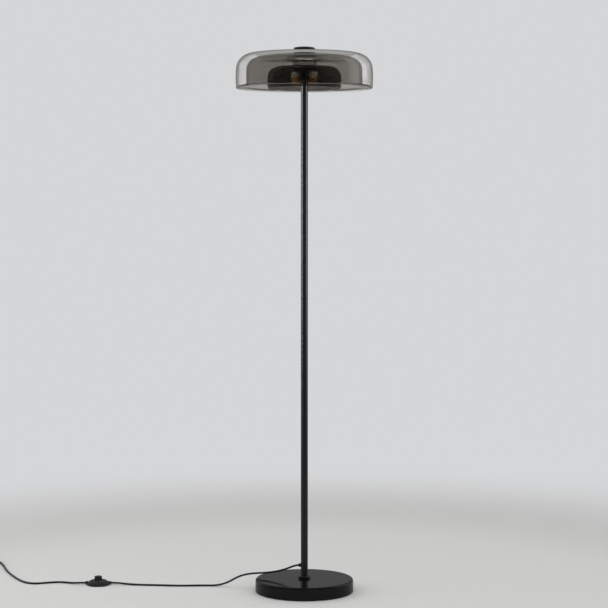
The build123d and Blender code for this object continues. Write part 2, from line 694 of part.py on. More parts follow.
def make_wiring():
    """The terminal block behind the pole and the two leads from it to the lamp holders."""
    block_middle = block_face + BLOCK_DEPTH / 2
    terminal = block(BLOCK_WIDTH, BLOCK_DEPTH, bridge_top, bridge_top + BLOCK_HEIGHT, 0, block_middle)
    lead_y = block_face + BLOCK_DEPTH - LEAD_INSET
    slant = LEAD_BEND * (1 - math.sqrt(0.5))
    leads = []
    for x in LAMP_SIDES:
        side = math.copysign(1, x)
        path = Wire([
            Line((side * BLOCK_WIDTH / 2, lead_y, lead_height), (x - side * LEAD_BEND, lead_y, lead_height)),
            ThreePointArc(
                (x - side * LEAD_BEND, lead_y, lead_height),
                (x - side * slant, lead_y - slant, lead_height),
                (x, lead_y - LEAD_BEND, lead_height),
            ),
            Line((x, lead_y - LEAD_BEND, lead_height), (x, HOLDER_DIAMETER / 2 + PRESS_FIT, lead_height)),
        ])
        leads.append(swept(path, LEAD_DIAMETER))
    return {"terminal_block": terminal, "lamp_leads": grouped(leads)}


def switch_bowl(shrink, bottom):
    """The switch housing's rounded body, made smaller by shrink at its side and top."""
    radius = SWITCH_DIAMETER / 2 - shrink
    flat = SWITCH_FLAT_DIAMETER / 2
    reach = SWITCH_DIAMETER / 2 - flat
    drop = SWITCH_HEIGHT - SWITCH_FOOT_HEIGHT - SWITCH_SIDE
    curve = (reach ** 2 + drop ** 2) / (2 * drop)
    centre = (flat, SWITCH_HEIGHT - curve)
    side_angle = math.degrees(math.acos((radius - flat) / (curve - shrink)))
    arc = arc_about(centre, curve - shrink, side_angle, 90)
    top = SWITCH_HEIGHT - shrink
    return turned(
        line((0, bottom), (radius, bottom)),
        Line((radius, 0, bottom), arc @ 0),
        arc,
        line((flat, top), (0, top)),
        line((0, top), (0, bottom)),
    )


def make_switch():
    """The foot switch: housing, cover, feet, screws, contact block, contacts, cord ends, button, spring."""
    foot = SWITCH_FOOT_HEIGHT
    cover_top = foot + SWITCH_COVER
    body = switch_bowl(0, foot)
    housing = body
    nose_start = SWITCH_DIAMETER / 2 - SWITCH_WALL
    for heading in SWITCH_ENTRIES:
        housing += level_cone(
            SWITCH_BOSS_DIAMETER, SWITCH_NOSE_DIAMETER, nose_start, switch_nose,
            SWITCH_ENTRY_HEIGHT, heading,
        )
    housing -= switch_bowl(SWITCH_WALL, foot)
    cover = post(SWITCH_DIAMETER - 2 * SWITCH_WALL - 2 * SLIP_FIT, foot, cover_top)
    screws = []
    screw_hole = SWITCH_SCREW_DIAMETER + 2 * THREAD_FIT
    head_top = foot + SWITCH_SCREW_HEAD_HEIGHT
    screw_top = foot + SWITCH_SCREW_LENGTH
    for angle in SWITCH_SCREW_ANGLES:
        x = SWITCH_SCREW_RADIUS * math.cos(math.radians(angle))
        y = SWITCH_SCREW_RADIUS * math.sin(math.radians(angle))
        housing += body & post(SWITCH_SCREW_BOSS, cover_top + PRESS_FIT, SWITCH_HEIGHT, x, y)
        housing -= post(screw_hole, cover_top, screw_top + THREAD_FIT, x, y)
        cover -= post(screw_hole, foot, cover_top, x, y)
        cover -= post(SWITCH_SCREW_HEAD + 2 * THREAD_FIT, foot, head_top, x, y)
        screw = post(SWITCH_SCREW_DIAMETER, foot, screw_top, x, y)
        screws.append(screw + post(SWITCH_SCREW_HEAD, foot, head_top, x, y))
    button_hole = BUTTON_DIAMETER + 2 * BUTTON_CLEARANCE
    housing -= post(button_hole, SWITCH_HEIGHT - 2 * SWITCH_WALL, SWITCH_HEIGHT)
    for heading in SWITCH_ENTRIES:
        housing -= level(cord_hole, SWITCH_FLAT_DIAMETER / 2, switch_nose, SWITCH_ENTRY_HEIGHT, heading)
    feet = [post(SWITCH_FOOT_DIAMETER, 0, foot, x, y) for x, y in switch_foot_places()]

    block_top = cover_top + SWITCH_BLOCK_HEIGHT
    contact_block = block(SWITCH_BLOCK_LENGTH, SWITCH_BLOCK_WIDTH, cover_top, block_top)
    contact_block += post(POST_DIAMETER, cover_top, block_top + POST_HEIGHT)
    contact_middle = (SWITCH_BLOCK_LENGTH + CONTACT_LENGTH) / 2
    contacts = []
    ends = []
    for heading in SWITCH_ENTRIES:
        x = contact_middle * math.cos(math.radians(heading))
        contacts.append(block(CONTACT_LENGTH, CONTACT_WIDTH, cover_top, cover_top + CONTACT_HEIGHT, x))
        contact_end = contact_middle + CONTACT_LENGTH / 2
        ends.append(level(CORD_DIAMETER, contact_end, switch_nose, SWITCH_ENTRY_HEIGHT, heading))

    flange_top = SWITCH_HEIGHT - SWITCH_WALL - FLANGE_GAP
    flange_bottom = flange_top - FLANGE_HEIGHT
    button_top = SWITCH_HEIGHT + BUTTON_RISE
    ceiling = button_top - BUTTON_WALL
    button = post(BUTTON_DIAMETER, flange_bottom, button_top)
    button = fillet(button.edges().group_by(Axis.Z)[-1], BUTTON_ROUND)
    button += post(BUTTON_DIAMETER + 2 * FLANGE_REACH, flange_bottom, flange_top)
    button -= post(BUTTON_DIAMETER - 2 * BUTTON_WALL, flange_bottom, ceiling)

    lowest = block_top + SPRING_WIRE / 2 + PRESS_FIT
    highest = ceiling - SPRING_WIRE / 2 - PRESS_FIT
    step = (highest - lowest) / SPRING_HALF_TURNS
    reach = SPRING_DIAMETER / 2
    wind = [((-1) ** index * reach, lowest + index * step) for index in range(SPRING_HALF_TURNS + 1)]
    spring_path = Wire(half_turns(wind))
    print("switch_spring least gap", round(least_gap(spring_path, SPRING_WIRE), 2))
    pieces = {
        "switch_housing": housing,
        "switch_cover": cover,
        "switch_feet": feet,
        "switch_screws": screws,
        "switch_contact_block": contact_block,
        "switch_contacts": contacts,
        "switch_cord_ends": ends,
        "switch_button": button,
        "switch_spring": swept(spring_path, SPRING_WIRE),
    }
    place = Pos(SWITCH_X, SWITCH_Y, 0)
    return {name: place * grouped(piece) for name, piece in pieces.items()}


def switch_foot_places():
    """Where the switch's four rubber feet stand under its cover."""
    places = []
    for angle in SWITCH_FOOT_ANGLES:
        turn = math.radians(angle)
        places.append((SWITCH_FOOT_RADIUS * math.cos(turn), SWITCH_FOOT_RADIUS * math.sin(turn)))
    return places


def make_coil():
    """The coil of spare cord in two layers, and the tie round it. Its own frame has the way in along +Y."""
    half_count = 2 * COIL_TURNS_IN_LAYER
    upper = COIL_FLOOR + COIL_LAYER
    shrink = [COIL_RADIUS - index * COIL_PITCH / 2 for index in range(half_count + 1)]
    spans = [(radius, COIL_FLOOR) for radius in shrink] + [(radius, upper) for radius in reversed(shrink)]
    crossings = [((-1) ** index * radius, height) for index, (radius, height) in enumerate(spans)]
    way_in = Line((COIL_RADIUS, -CORD_DIAMETER, COIL_FLOOR), (COIL_RADIUS, 0, COIL_FLOOR))
    way_out = Line((-COIL_RADIUS, 0, upper), (-COIL_RADIUS, -CORD_DIAMETER, upper))
    path = Wire([way_in] + half_turns(crossings) + [way_out])
    print("cord_coil length", round(path.length, 1), "least gap", round(least_gap(path, CORD_DIAMETER), 2))

    outermost = COIL_RADIUS - 0.75 * COIL_PITCH + CORD_DIAMETER / 2 + TIE_GAP
    innermost = COIL_RADIUS - (half_count - 0.5) * COIL_PITCH / 2 - CORD_DIAMETER / 2 - TIE_GAP
    middle = -(outermost + innermost) / 2
    bottom = COIL_FLOOR - CORD_DIAMETER / 2 - TIE_GAP
    top = upper + CORD_DIAMETER / 2 + TIE_GAP
    wall = TIE_THICKNESS
    depth = outermost - innermost
    tie = block(TIE_WIDTH, depth + 2 * wall, bottom - wall, top + wall, 0, middle)
    tie = fillet(tie.edges().filter_by(Axis.X), TIE_ROUND)
    inside = block(TIE_WIDTH, depth, bottom, top, 0, middle)
    tie -= fillet(inside.edges().filter_by(Axis.X), TIE_ROUND - wall)
    place = Pos(COIL_X, COIL_Y, 0) * Rot(0, 0, COIL_HEADING)
    return {"cord_coil": place * swept(path, CORD_DIAMETER), "coil_tie": place * tie}


def from_coil(x, y, z):
    """A point given in the coil's own frame, in the lamp's frame."""
    turn = math.radians(COIL_HEADING)
    return (
        COIL_X + x * math.cos(turn) - y * math.sin(turn),
        COIL_Y + x * math.sin(turn) + y * math.cos(turn),
        z,
    )


def make_cords():
    """The free stretches of cord: pole to switch, switch to coil, and coil to plug."""
    lead_in = [
        from_coil(COIL_RADIUS, -CORD_DIAMETER - COIL_LEAD_IN, COIL_FLOOR),
        from_coil(COIL_RADIUS, -CORD_DIAMETER, COIL_FLOOR),
    ]
    tail = [from_coil(-COIL_RADIUS - beside, -CORD_DIAMETER - along, z) for along, beside, z in TAIL_STEPS]
    routes = {
        "cord_to_switch": ROUTE_TO_SWITCH,
        "cord_to_coil": ROUTE_TO_COIL + lead_in,
        "cord_to_plug": tail,
    }
    return {name: laid_cord(name, points, CORD_DIAMETER) for name, points in routes.items()}


def make_plug():
    """The two-pin plug with its ribbed strain relief, made along +X and laid at the end of the cord."""
    shoulder = RELIEF_LENGTH + PLUG_SHOULDER
    front = RELIEF_LENGTH + PLUG_LENGTH
    narrow = RectangleRounded(RELIEF_DIAMETER, PLUG_SHOULDER_WIDTH, PLUG_ROUND)
    wide = RectangleRounded(PLUG_HEIGHT, PLUG_WIDTH, PLUG_ROUND)
    sections = [
        Pos(RELIEF_LENGTH, 0, 0) * Rot(0, 90, 0) * narrow,
        Pos(shoulder, 0, 0) * Rot(0, 90, 0) * wide,
        Pos(front, 0, 0) * Rot(0, 90, 0) * wide,
    ]
    body = loft(sections, ruled=True)
    body += level_cone(RELIEF_NOSE, RELIEF_DIAMETER, 0, RELIEF_LENGTH, 0)
    rib_step = RELIEF_LENGTH / (RELIEF_RINGS + 1)
    for index in range(RELIEF_RINGS):
        middle = (index + 1) * rib_step
        width_here = RELIEF_NOSE + (RELIEF_DIAMETER - RELIEF_NOSE) * middle / RELIEF_LENGTH
        start = middle - RELIEF_SLOT / 2
        slot = level(RELIEF_DIAMETER * 2, start, start + RELIEF_SLOT, 0)
        body -= slot - level(width_here - 2 * RELIEF_SLOT_DEPTH, start, start + RELIEF_SLOT, 0)
    pins = []
    for y in (-PLUG_PIN_SPACING / 2, PLUG_PIN_SPACING / 2):
        root = front - PLUG_PIN_ROOT
        body -= level(PLUG_PIN_ROOT_DIAMETER + 2 * PRESS_FIT, root, front, 0, 0, 0, y)
        pin = level(PLUG_PIN_DIAMETER, front, front + PLUG_PIN_LENGTH, 0, 0, 0, y)
        pin = fillet(pin.edges().group_by(Axis.X)[-1], PLUG_PIN_ROUND)
        pins.append(pin + level(PLUG_PIN_ROOT_DIAMETER, root, front, 0, 0, 0, y))
    along, beside, height = TAIL_STEPS[-1]
    seat = Pos(*from_coil(-COIL_RADIUS - beside, -CORD_DIAMETER - along, height))
    place = seat * Rot(0, 0, COIL_HEADING - 90)
    return {"plug_body": place * body, "plug_pins": place * grouped(pins)}


def grouped(piece):
    """One solid as it is, or a list of equal solids as one group."""
    return Compound(children=piece) if isinstance(piece, list) else piece


def main():
    """Build every piece and write it to its own file."""
    makers = (
        make_base, make_pole, make_cable, make_glass, make_stem, make_lamps, make_wiring,
        make_switch, make_coil, make_cords, make_plug,
    )
    os.makedirs("parts", exist_ok=True)
    for maker in makers:
        for name, piece in maker().items():
            export_step(piece, os.path.join("parts", name + ".step"))


main()
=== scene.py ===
"""Looks of a floor lamp: stone base, slim black pole, three nested glass shells, foot switch on the cord.

Every mesh is in metres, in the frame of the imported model: +Z up, the floor at zero, the cord towards -X.
"""
import logging
import math
from dataclasses import dataclass, field
from enum import Enum
from functools import cache
from typing import Sequence

import bmesh
import bpy
import numpy as np
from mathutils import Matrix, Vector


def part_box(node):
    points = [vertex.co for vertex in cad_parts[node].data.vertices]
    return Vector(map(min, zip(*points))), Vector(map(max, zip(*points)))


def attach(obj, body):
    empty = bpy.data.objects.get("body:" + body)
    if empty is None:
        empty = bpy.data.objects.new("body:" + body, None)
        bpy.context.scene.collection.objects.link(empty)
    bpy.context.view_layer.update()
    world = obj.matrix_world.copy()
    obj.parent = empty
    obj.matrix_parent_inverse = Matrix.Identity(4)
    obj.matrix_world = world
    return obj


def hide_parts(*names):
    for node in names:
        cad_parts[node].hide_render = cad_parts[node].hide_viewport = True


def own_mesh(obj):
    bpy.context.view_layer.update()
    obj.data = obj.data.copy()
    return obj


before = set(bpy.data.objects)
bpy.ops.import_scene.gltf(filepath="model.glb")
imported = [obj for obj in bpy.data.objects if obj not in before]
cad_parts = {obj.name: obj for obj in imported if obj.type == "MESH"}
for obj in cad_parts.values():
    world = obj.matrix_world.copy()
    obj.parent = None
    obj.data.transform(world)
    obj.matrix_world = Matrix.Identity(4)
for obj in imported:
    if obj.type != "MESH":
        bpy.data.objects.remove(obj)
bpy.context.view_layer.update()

LAMP_BODY = "lamp"
SHELL_NAMES = ("clear_shade", "smoked_shade", "dark_dome")
POLE_TUBES = ("pole_lower", "pole_middle", "pole_upper")
SHARP_ANGLE = math.radians(35)
FULL_TURN = 2 * math.pi
MERGE_DISTANCE = 1e-7
CORNER_POINTS = 5
FLAT_POINTS = 8
CROWN_POINTS = 14
DIP_POINTS = 14
BRIM_POINTS = 18
WALL_POINTS = 40
WIRE_SIDES = 10
WIRE_STEPS_IN_TURN = 24
UNIT = (0.0, 1.0)
WHITE = (1.0, 1.0, 1.0)
NOISE_SPREAD = (0.3, 0.7)
MIX_SHARE, MIX_LOW, MIX_HIGH, MIX_RESULT = 0, 6, 7, 2

Rgb = tuple[float, float, float]
Pair = tuple[float, float]
Point = tuple[float, float, float]
Piece = bpy.types.Object
Material = bpy.types.Material
Tree = bpy.types.NodeTree
Node = bpy.types.Node
Socket = bpy.types.NodeSocket

log = logging.getLogger("floor_lamp")


class Gloss(Enum):
    """How smooth a finish is, as the roughness of its shader."""

    MIRROR = 0.03
    POLISHED = 0.1
    SATIN = 0.3
    EGGSHELL = 0.42
    MATT = 0.62
    FIBROUS = 0.95


class Turn(Enum):
    """Facets round the axis of a turned piece."""

    FLOOR = 112
    SHELL = 176


# Outlines


def arc(centre: Pair, radius: float, first: float, last: float, count: int) -> np.ndarray:
    """Points of an arc: the centre plus radius times (cos, sin) of evenly spaced angles.

    Args:
        centre: The arc's centre as (r, z).
        radius: Its radius.
        first: The first angle in degrees.
        last: The last angle in degrees.
        count: How many points.

    Returns:
        An array of (r, z) rows.
    """
    turn = np.radians(np.linspace(first, last, count))
    return np.column_stack((centre[0] + radius * np.cos(turn), centre[1] + radius * np.sin(turn)))


def joined(*runs: np.ndarray) -> np.ndarray:
    """Runs of points end to end, with the points that repeat at the joins left out.

    Args:
        runs: The runs, each as (r, z) rows.

    Returns:
        One array of (r, z) rows.
    """
    points = np.concatenate(runs)
    step = np.linalg.norm(np.diff(points, axis=0), axis=1)
    return points[np.concatenate(([True], step > MERGE_DISTANCE))]


def capped(end: np.ndarray, heading: float, half: float, corner: float) -> np.ndarray:
    """A wall's end: a quarter arc for each corner, and between them the flat half a thickness past the end.

    Args:
        end: The last point of the wall's middle.
        heading: The way from the middle to the wall's left side, in degrees.
        half: Half of the wall's thickness.
        corner: The radius of the two corners.

    Returns:
        The end's points as (r, z) rows, from the left side to the right.
    """
    left = np.array((math.cos(math.radians(heading)), math.sin(math.radians(heading))))
    onward = np.array((left[1], -left[0]))
    shift = half - corner
    return joined(
        arc(tuple(end + (onward + left) * shift), corner, heading, heading - 90, CORNER_POINTS),
        arc(tuple(end + (onward - left) * shift), corner, heading - 90, heading - 180, CORNER_POINTS),
    )


def walled(midline: np.ndarray, thickness: float, corner: float) -> np.ndarray:
    """Closed outline of a wall: its midline moved half a thickness along its normals to each side.

    Args:
        midline: The wall's middle as (r, z) rows.
        thickness: The wall's thickness.
        corner: The radius of the corners at its flat ends.

    Returns:
        The closed outline as (r, z) rows, the left side of the midline first.
    """
    along = np.gradient(midline, axis=0)
    along /= np.linalg.norm(along, axis=1, keepdims=True)
    across = np.column_stack((-along[:, 1], along[:, 0]))
    half = thickness / 2
    last = math.degrees(math.atan2(across[-1, 1], across[-1, 0]))
    first = math.degrees(math.atan2(-across[0, 1], -across[0, 0]))
    far_end = capped(midline[-1], last, half, corner)
    near_end = capped(midline[0], first, half, corner)
    left = midline + across * half
    right = (midline - across * half)[::-1]
    return joined(left, far_end, right, near_end)


# Meshes


def linked(name: str, data: bpy.types.ID) -> Piece:
    """A new object, linked to the scene.

    Args:
        name: The object's name.
        data: Its mesh, curve, camera or light.

    Returns:
        The object.
    """
    piece = bpy.data.objects.new(name, data)
    bpy.context.scene.collection.objects.link(piece)
    return piece


def meshed(name: str, corners: np.ndarray, quads: np.ndarray, wrap: np.ndarray | None = None) -> Piece:
    """A piece with closed poles and seams, faces outwards, and smooth shading except at sharp edges.

    Args:
        name: The new object's name.
        corners: The points as (x, y, z) rows.
        quads: The faces as rows of four point numbers.
        wrap: The UV map as (u, v) rows, four to a face, if the piece has one.

    Returns:
        The new object, linked to the scene.
    """
    mesh = bpy.data.meshes.new(name)
    mesh.from_pydata(corners.tolist(), [], quads.tolist())
    if wrap is not None:
        mesh.uv_layers.new(name="turned").data.foreach_set("uv", wrap.ravel())
    work = bmesh.new()
    work.from_mesh(mesh)
    bmesh.ops.remove_doubles(work, verts=work.verts, dist=MERGE_DISTANCE)
    bmesh.ops.recalc_face_normals(work, faces=work.faces)
    work.to_mesh(mesh)
    work.free()
    mesh.polygons.foreach_set("use_smooth", np.ones(len(mesh.polygons), dtype=bool))
    mesh.set_sharp_from_angle(angle=SHARP_ANGLE)
    return linked(name, mesh)


def cell_corners(rows: int, columns: int) -> tuple[np.ndarray, np.ndarray]:
    """The four corners of each cell of a grid, in order round the cell.

    Args:
        rows: How many rows of cells.
        columns: How many columns of cells.

    Returns:
        The corners' row numbers and their column numbers, one line of four to a cell.
    """
    row, column = np.meshgrid(np.arange(rows), np.arange(columns), indexing="ij")
    row_steps = np.stack((row, row, row + 1, row + 1), axis=-1).reshape(-1, 4)
    column_steps = np.stack((column, column + 1, column + 1, column), axis=-1).reshape(-1, 4)
    return row_steps, column_steps


def revolve(name: str, outline: np.ndarray, turn: Turn) -> Piece:
    """Surface of revolution: (r, z) of a closed outline goes to (r cos a, r sin a, z) for every angle a.

    Its UV map holds the angle as a share of a turn and the length along the outline in metres.

    Args:
        name: The new object's name.
        outline: The closed outline as (r, z) rows.
        turn: How many facets go round.

    Returns:
        The new object, linked to the scene.
    """
    rows, columns = len(outline), turn.value
    angle = np.linspace(0, FULL_TURN, columns, endpoint=False)
    radius = outline[:, :1]
    height = np.broadcast_to(outline[:, 1:], (rows, columns))
    corners = np.stack((radius * np.cos(angle), radius * np.sin(angle), height), axis=-1).reshape(-1, 3)
    row_steps, column_steps = cell_corners(rows, columns)
    quads = (row_steps % rows) * columns + column_steps % columns
    run = np.linalg.norm(np.diff(np.vstack((outline, outline[:1])), axis=0), axis=1)
    length = np.concatenate(([0.0], np.cumsum(run)))
    wrap = np.stack((column_steps / columns, length[row_steps]), axis=-1).reshape(-1, 2)
    return meshed(name, corners, quads, wrap)


def wound(name: str, low: Point, reach: float, wire: float, turns: int, height: float) -> Piece:
    """A round wire wound up an axis: its middle is low plus (R cos t, R sin t, H t / T), t going up to T.

    A circle of half the wire stands on each point of the middle, in the plane of the way out from the axis
    and of the middle's binormal, and both ends shrink to a point.

    Args:
        name: The new object's name.
        low: Where the axis meets the height of the wire's lower end.
        reach: The radius of the turns, R.
        wire: The wire's diameter.
        turns: How many turns, T in full circles.
        height: How far the wire's middle climbs, H.

    Returns:
        The new object, linked to the scene.
    """
    angle = np.linspace(0, turns * FULL_TURN, turns * WIRE_STEPS_IN_TURN + 1)
    flat = np.zeros_like(angle)
    outward = np.column_stack((np.cos(angle), np.sin(angle), flat))
    climb = np.column_stack((flat, flat, height * angle / angle[-1]))
    along = np.column_stack((-reach * np.sin(angle), reach * np.cos(angle), flat + height / angle[-1]))
    across = np.cross(along / np.linalg.norm(along, axis=1, keepdims=True), outward)
    around = np.linspace(0, FULL_TURN, WIRE_SIDES, endpoint=False)[None, :, None]
    ring = outward[:, None] * np.cos(around) + across[:, None] * np.sin(around)
    rows = np.concatenate(([0], np.arange(len(angle)), [len(angle) - 1]))
    size = np.concatenate(([0.0], np.full(len(angle), wire / 2), [0.0]))
    middle = np.array(low) + reach * outward + climb
    corners = (middle[rows][:, None] + size[:, None, None] * ring[rows]).reshape(-1, 3)
    row_steps, column_steps = cell_corners(len(rows) - 1, WIRE_SIDES)
    return meshed(name, corners, row_steps * WIRE_SIDES + column_steps % WIRE_SIDES)


# Shader graphs


class Graph:
    """A node tree with short calls to add nodes, set their sockets and join them."""

    def __init__(self, tree: Tree) -> None:
        """Keep the tree that the calls work on."""
        self.tree = tree

    def add(self, kind: str, inputs: dict | None = None, **settings: object) -> Node:
        """Add a node.

        Args:
            kind: The node's type name.
            inputs: Values or output sockets for its named or numbered inputs.
            settings: The node's own properties.

        Returns:
            The new node.
        """
        node = self.tree.nodes.new(kind)
        for key, value in settings.items():
            setattr(node, key, value)
        for key, value in (inputs or {}).items():
            if isinstance(value, Socket):
                self.link(value, node.inputs[key])
            else:
                node.inputs[key].default_value = value
        return node

    def link(self, source: Socket, target: Socket) -> None:
        """Join an output to an input."""
        self.tree.links.new(source, target)

    def maths(self, operation: str, first: object, second: object = 0.0) -> Socket:
        """A Math node's result for two values or sockets."""
        return self.add("ShaderNodeMath", {0: first, 1: second}, operation=operation).outputs[0]

    def noise(self, place: Socket, scale: object, detail: object, **more: float) -> Socket:
        """Cloudy noise from 0 to 1 at a place, with further inputs by name."""
        inputs = {"Vector": place, "Scale": scale, "Detail": detail, **more}
        return self.add("ShaderNodeTexNoise", inputs).outputs["Fac"]

    def ranged(self, value: Socket, source: Pair, target: Pair = UNIT) -> Socket:
        """A value moved smoothly from one range into another.

        Args:
            value: The value.
            source: The ends of the range that it comes from.
            target: The ends of the range that it goes to.

        Returns:
            The moved value.
        """
        spans = {"From Min": source[0], "From Max": source[1], "To Min": target[0], "To Max": target[1]}
        inputs = {"Value": value, **spans}
        return self.add("ShaderNodeMapRange", inputs, interpolation_type="SMOOTHSTEP").outputs["Result"]

    def blend(self, share: Socket, low: Rgb | Socket, high: Rgb) -> Socket:
        """A colour from low to high by a share from 0 to 1.

        Args:
            share: The share of the high colour.
            low: The low colour, plain or from a socket.
            high: The high colour.

        Returns:
            The blended colour.
        """
        start = low if isinstance(low, Socket) else (*low, 1.0)
        inputs = {MIX_SHARE: share, MIX_LOW: start, MIX_HIGH: (*high, 1.0)}
        return self.add("ShaderNodeMix", inputs, data_type="RGBA").outputs[MIX_RESULT]

    def glow(self, colour: Rgb, strength: float | Socket) -> Socket:
        """A background's light."""
        return self.add("ShaderNodeBackground", {"Color": (*colour, 1.0), "Strength": strength}).outputs[0]

    def either(self, share: Socket, first: Socket, second: Socket) -> Socket:
        """The first shader, or the second one by a share from 0 to 1."""
        return self.add("ShaderNodeMixShader", {0: share, 1: first, 2: second}).outputs[0]


def group_tree(
    name: str, inputs: dict[str, float | None], outputs: Sequence[str],
) -> tuple[Graph, dict[str, Socket], dict[str, Socket]]:
    """An empty shader group with named sockets.

    Args:
        name: The group's name.
        inputs: Each input with its default value, or None for a vector.
        outputs: The names of the value outputs.

    Returns:
        The group's graph, its input sockets by name and its output sockets by name.
    """
    tree = bpy.data.node_groups.new(name, "ShaderNodeTree")
    for key, value in inputs.items():
        kind = "NodeSocketVector" if value is None else "NodeSocketFloat"
        socket = tree.interface.new_socket(name=key, in_out="INPUT", socket_type=kind)
        if value is not None:
            socket.default_value = value
    for key in outputs:
        tree.interface.new_socket(name=key, in_out="OUTPUT", socket_type="NodeSocketFloat")
    graph = Graph(tree)
    entry = graph.add("NodeGroupInput")
    leave = graph.add("NodeGroupOutput")
    return graph, {key: entry.outputs[key] for key in inputs}, {key: leave.inputs[key] for key in outputs}


@cache
def grain_group() -> Tree:
    """Fine even grain: noise in a few octaves, as a height and as a mask about one half.

    Returns:
        The group.
    """
    inputs = {"Vector": None, "Scale": 900.0, "Depth": 2.0}
    graph, ins, outs = group_tree("Fine grain", inputs, ["Height", "Mask"])
    noise = graph.noise(ins["Vector"], ins["Scale"], ins["Depth"], Roughness=0.55)
    graph.link(noise, outs["Height"])
    graph.link(graph.ranged(noise, NOISE_SPREAD), outs["Mask"])
    return graph.tree


@cache
def handling_group() -> Tree:
    """Traces of handling: broad wiped patches with faint finger marks in them, as a mask from 0 to 1.

    Returns:
        The group.
    """
    graph, ins, outs = group_tree("Handling marks", {"Vector": None, "Scale": 18.0}, ["Mask"])
    wiped = graph.noise(ins["Vector"], ins["Scale"], 4.0, Distortion=0.8)
    finer = graph.maths("MULTIPLY", ins["Scale"], 3.0)
    marks = graph.add("ShaderNodeTexVoronoi", {"Vector": ins["Vector"], "Scale": finer}, feature="SMOOTH_F1")
    broad = graph.ranged(wiped, (0.42, 0.72))
    small = graph.ranged(marks.outputs["Distance"], (0.5, 0.15), (0.0, 0.6))
    graph.link(graph.maths("MULTIPLY", broad, graph.maths("ADD", small, 0.4)), outs["Mask"])
    return graph.tree


@cache
def dust_group() -> Tree:
    """Thin dust on faces that look up: the normal's height times a cloudy noise, as a mask from 0 to 1.

    Returns:
        The group.
    """
    graph, ins, outs = group_tree("Settled dust", {"Vector": None, "Scale": 40.0}, ["Mask"])
    facing = graph.add("ShaderNodeNewGeometry").outputs["Normal"]
    upward = graph.add("ShaderNodeSeparateXYZ", {0: facing}).outputs["Z"]
    cloud = graph.noise(ins["Vector"], ins["Scale"], 6.0)
    level = graph.ranged(upward, (0.55, 1.0))
    patch = graph.ranged(cloud, (0.35, 0.75), (0.2, 1.0))
    graph.link(graph.maths("MULTIPLY", level, patch), outs["Mask"])
    return graph.tree


@cache
def turning_group() -> Tree:
    """Fine marks that run round a turned piece: noise stretched along one axis of its coordinates.

    Returns:
        The group.
    """
    graph, ins, outs = group_tree("Turning marks", {"Vector": None, "Lines": 2500.0}, ["Height", "Mask"])
    split = graph.add("ShaderNodeSeparateXYZ", {0: ins["Vector"]})
    across = graph.maths("MULTIPLY", split.outputs["Y"], ins["Lines"])
    around = graph.maths("MULTIPLY", split.outputs["X"], 6.0)
    stretched = graph.add("ShaderNodeCombineXYZ", {"X": around, "Y": across})
    noise = graph.noise(stretched.outputs[0], 1.0, 3.0)
    graph.link(noise, outs["Height"])
    graph.link(graph.ranged(noise, NOISE_SPREAD), outs["Mask"])
    return graph.tree


# Finishes


class Surface:
    """A material in the making: its graph, its shader and the coordinates that its patterns read."""

    def __init__(self, name: str, colour: Rgb, gloss: Gloss) -> None:
        """Start a material whose shader has a plain colour and roughness.

        Args:
            name: The material's name.
            colour: Its base colour, linear.
            gloss: How smooth it is.
        """
        self.material = bpy.data.materials.new(name)
        self.material.use_nodes = True
        self.graph = Graph(self.material.node_tree)
        self.shader = self.material.node_tree.nodes["Principled BSDF"]
        self.place = self.graph.add("ShaderNodeTexCoord").outputs["Object"]
        self.set("Base Color", (*colour, 1.0))
        self.set("Roughness", gloss.value)

    def set(self, name: str, value: object) -> None:
        """Set one of the shader's own sockets to a plain value."""
        self.shader.inputs[name].default_value = value

    def feed(self, name: str, socket: Socket) -> None:
        """Join a socket that changes over the surface to one of the shader's inputs."""
        self.graph.link(socket, self.shader.inputs[name])

    def effect(self, tree: Tree, **inputs: float) -> Node:
        """Place a shared effect, read at the object's own coordinates, with its own values."""
        return self.graph.add("ShaderNodeGroup", {"Vector": self.place, **inputs}, node_tree=tree)

    def part(self, tree: Tree, pattern: Pair) -> tuple[Socket, float]:
        """The mask of a shared effect at a pattern's scale, with the pattern's share."""
        return self.effect(tree, Scale=pattern[0]).outputs["Mask"], pattern[1]

    def turned(self, lines: float) -> Node:
        """Place the turning marks round the lamp's axis.

        They read the angle as a share of a turn, and the radius plus the height in metres.

        Args:
            lines: How many marks go to a metre.

        Returns:
            The effect's node.
        """
        split = self.graph.add("ShaderNodeSeparateXYZ", {0: self.place})
        across, deep = split.outputs["X"], split.outputs["Y"]
        angle = self.graph.maths("DIVIDE", self.graph.maths("ARCTAN2", deep, across), FULL_TURN)
        squares = [self.graph.maths("MULTIPLY", side, side) for side in (across, deep)]
        radius = self.graph.maths("SQRT", self.graph.maths("ADD", *squares))
        reach = self.graph.maths("ADD", radius, split.outputs["Z"])
        round_axis = self.graph.add("ShaderNodeCombineXYZ", {"X": angle, "Y": reach}).outputs[0]
        inputs = {"Vector": round_axis, "Lines": lines}
        return self.graph.add("ShaderNodeGroup", inputs, node_tree=turning_group())

    def shine(self, gloss: Gloss, *parts: tuple[Socket, float]) -> None:
        """Feed the roughness: the finish's own plus each mask times its share.

        Args:
            gloss: The finish's own gloss.
            parts: Each mask with its share.
        """
        total: object = gloss.value
        for part in parts:
            total = self.graph.maths("ADD", total, self.graph.maths("MULTIPLY", *part))
        self.feed("Roughness", total)

    def tint(self, share: Socket, low: Rgb | Socket, high: Rgb) -> None:
        """Feed the base colour, from low to high by a share."""
        self.feed("Base Color", self.graph.blend(share, low, high))

    def relief(self, effect: Node, strength: float, distance: float) -> None:
        """Feed the normal by an effect's height."""
        inputs = {"Height": effect.outputs["Height"], "Strength": strength, "Distance": distance}
        self.feed("Normal", self.graph.add("ShaderNodeBump", inputs).outputs["Normal"])


# A finish's pair for wiped, dusty, film or grain is a pattern's scale and its share in the gloss or colour.
# Its pair for bump is the relief's strength and distance.


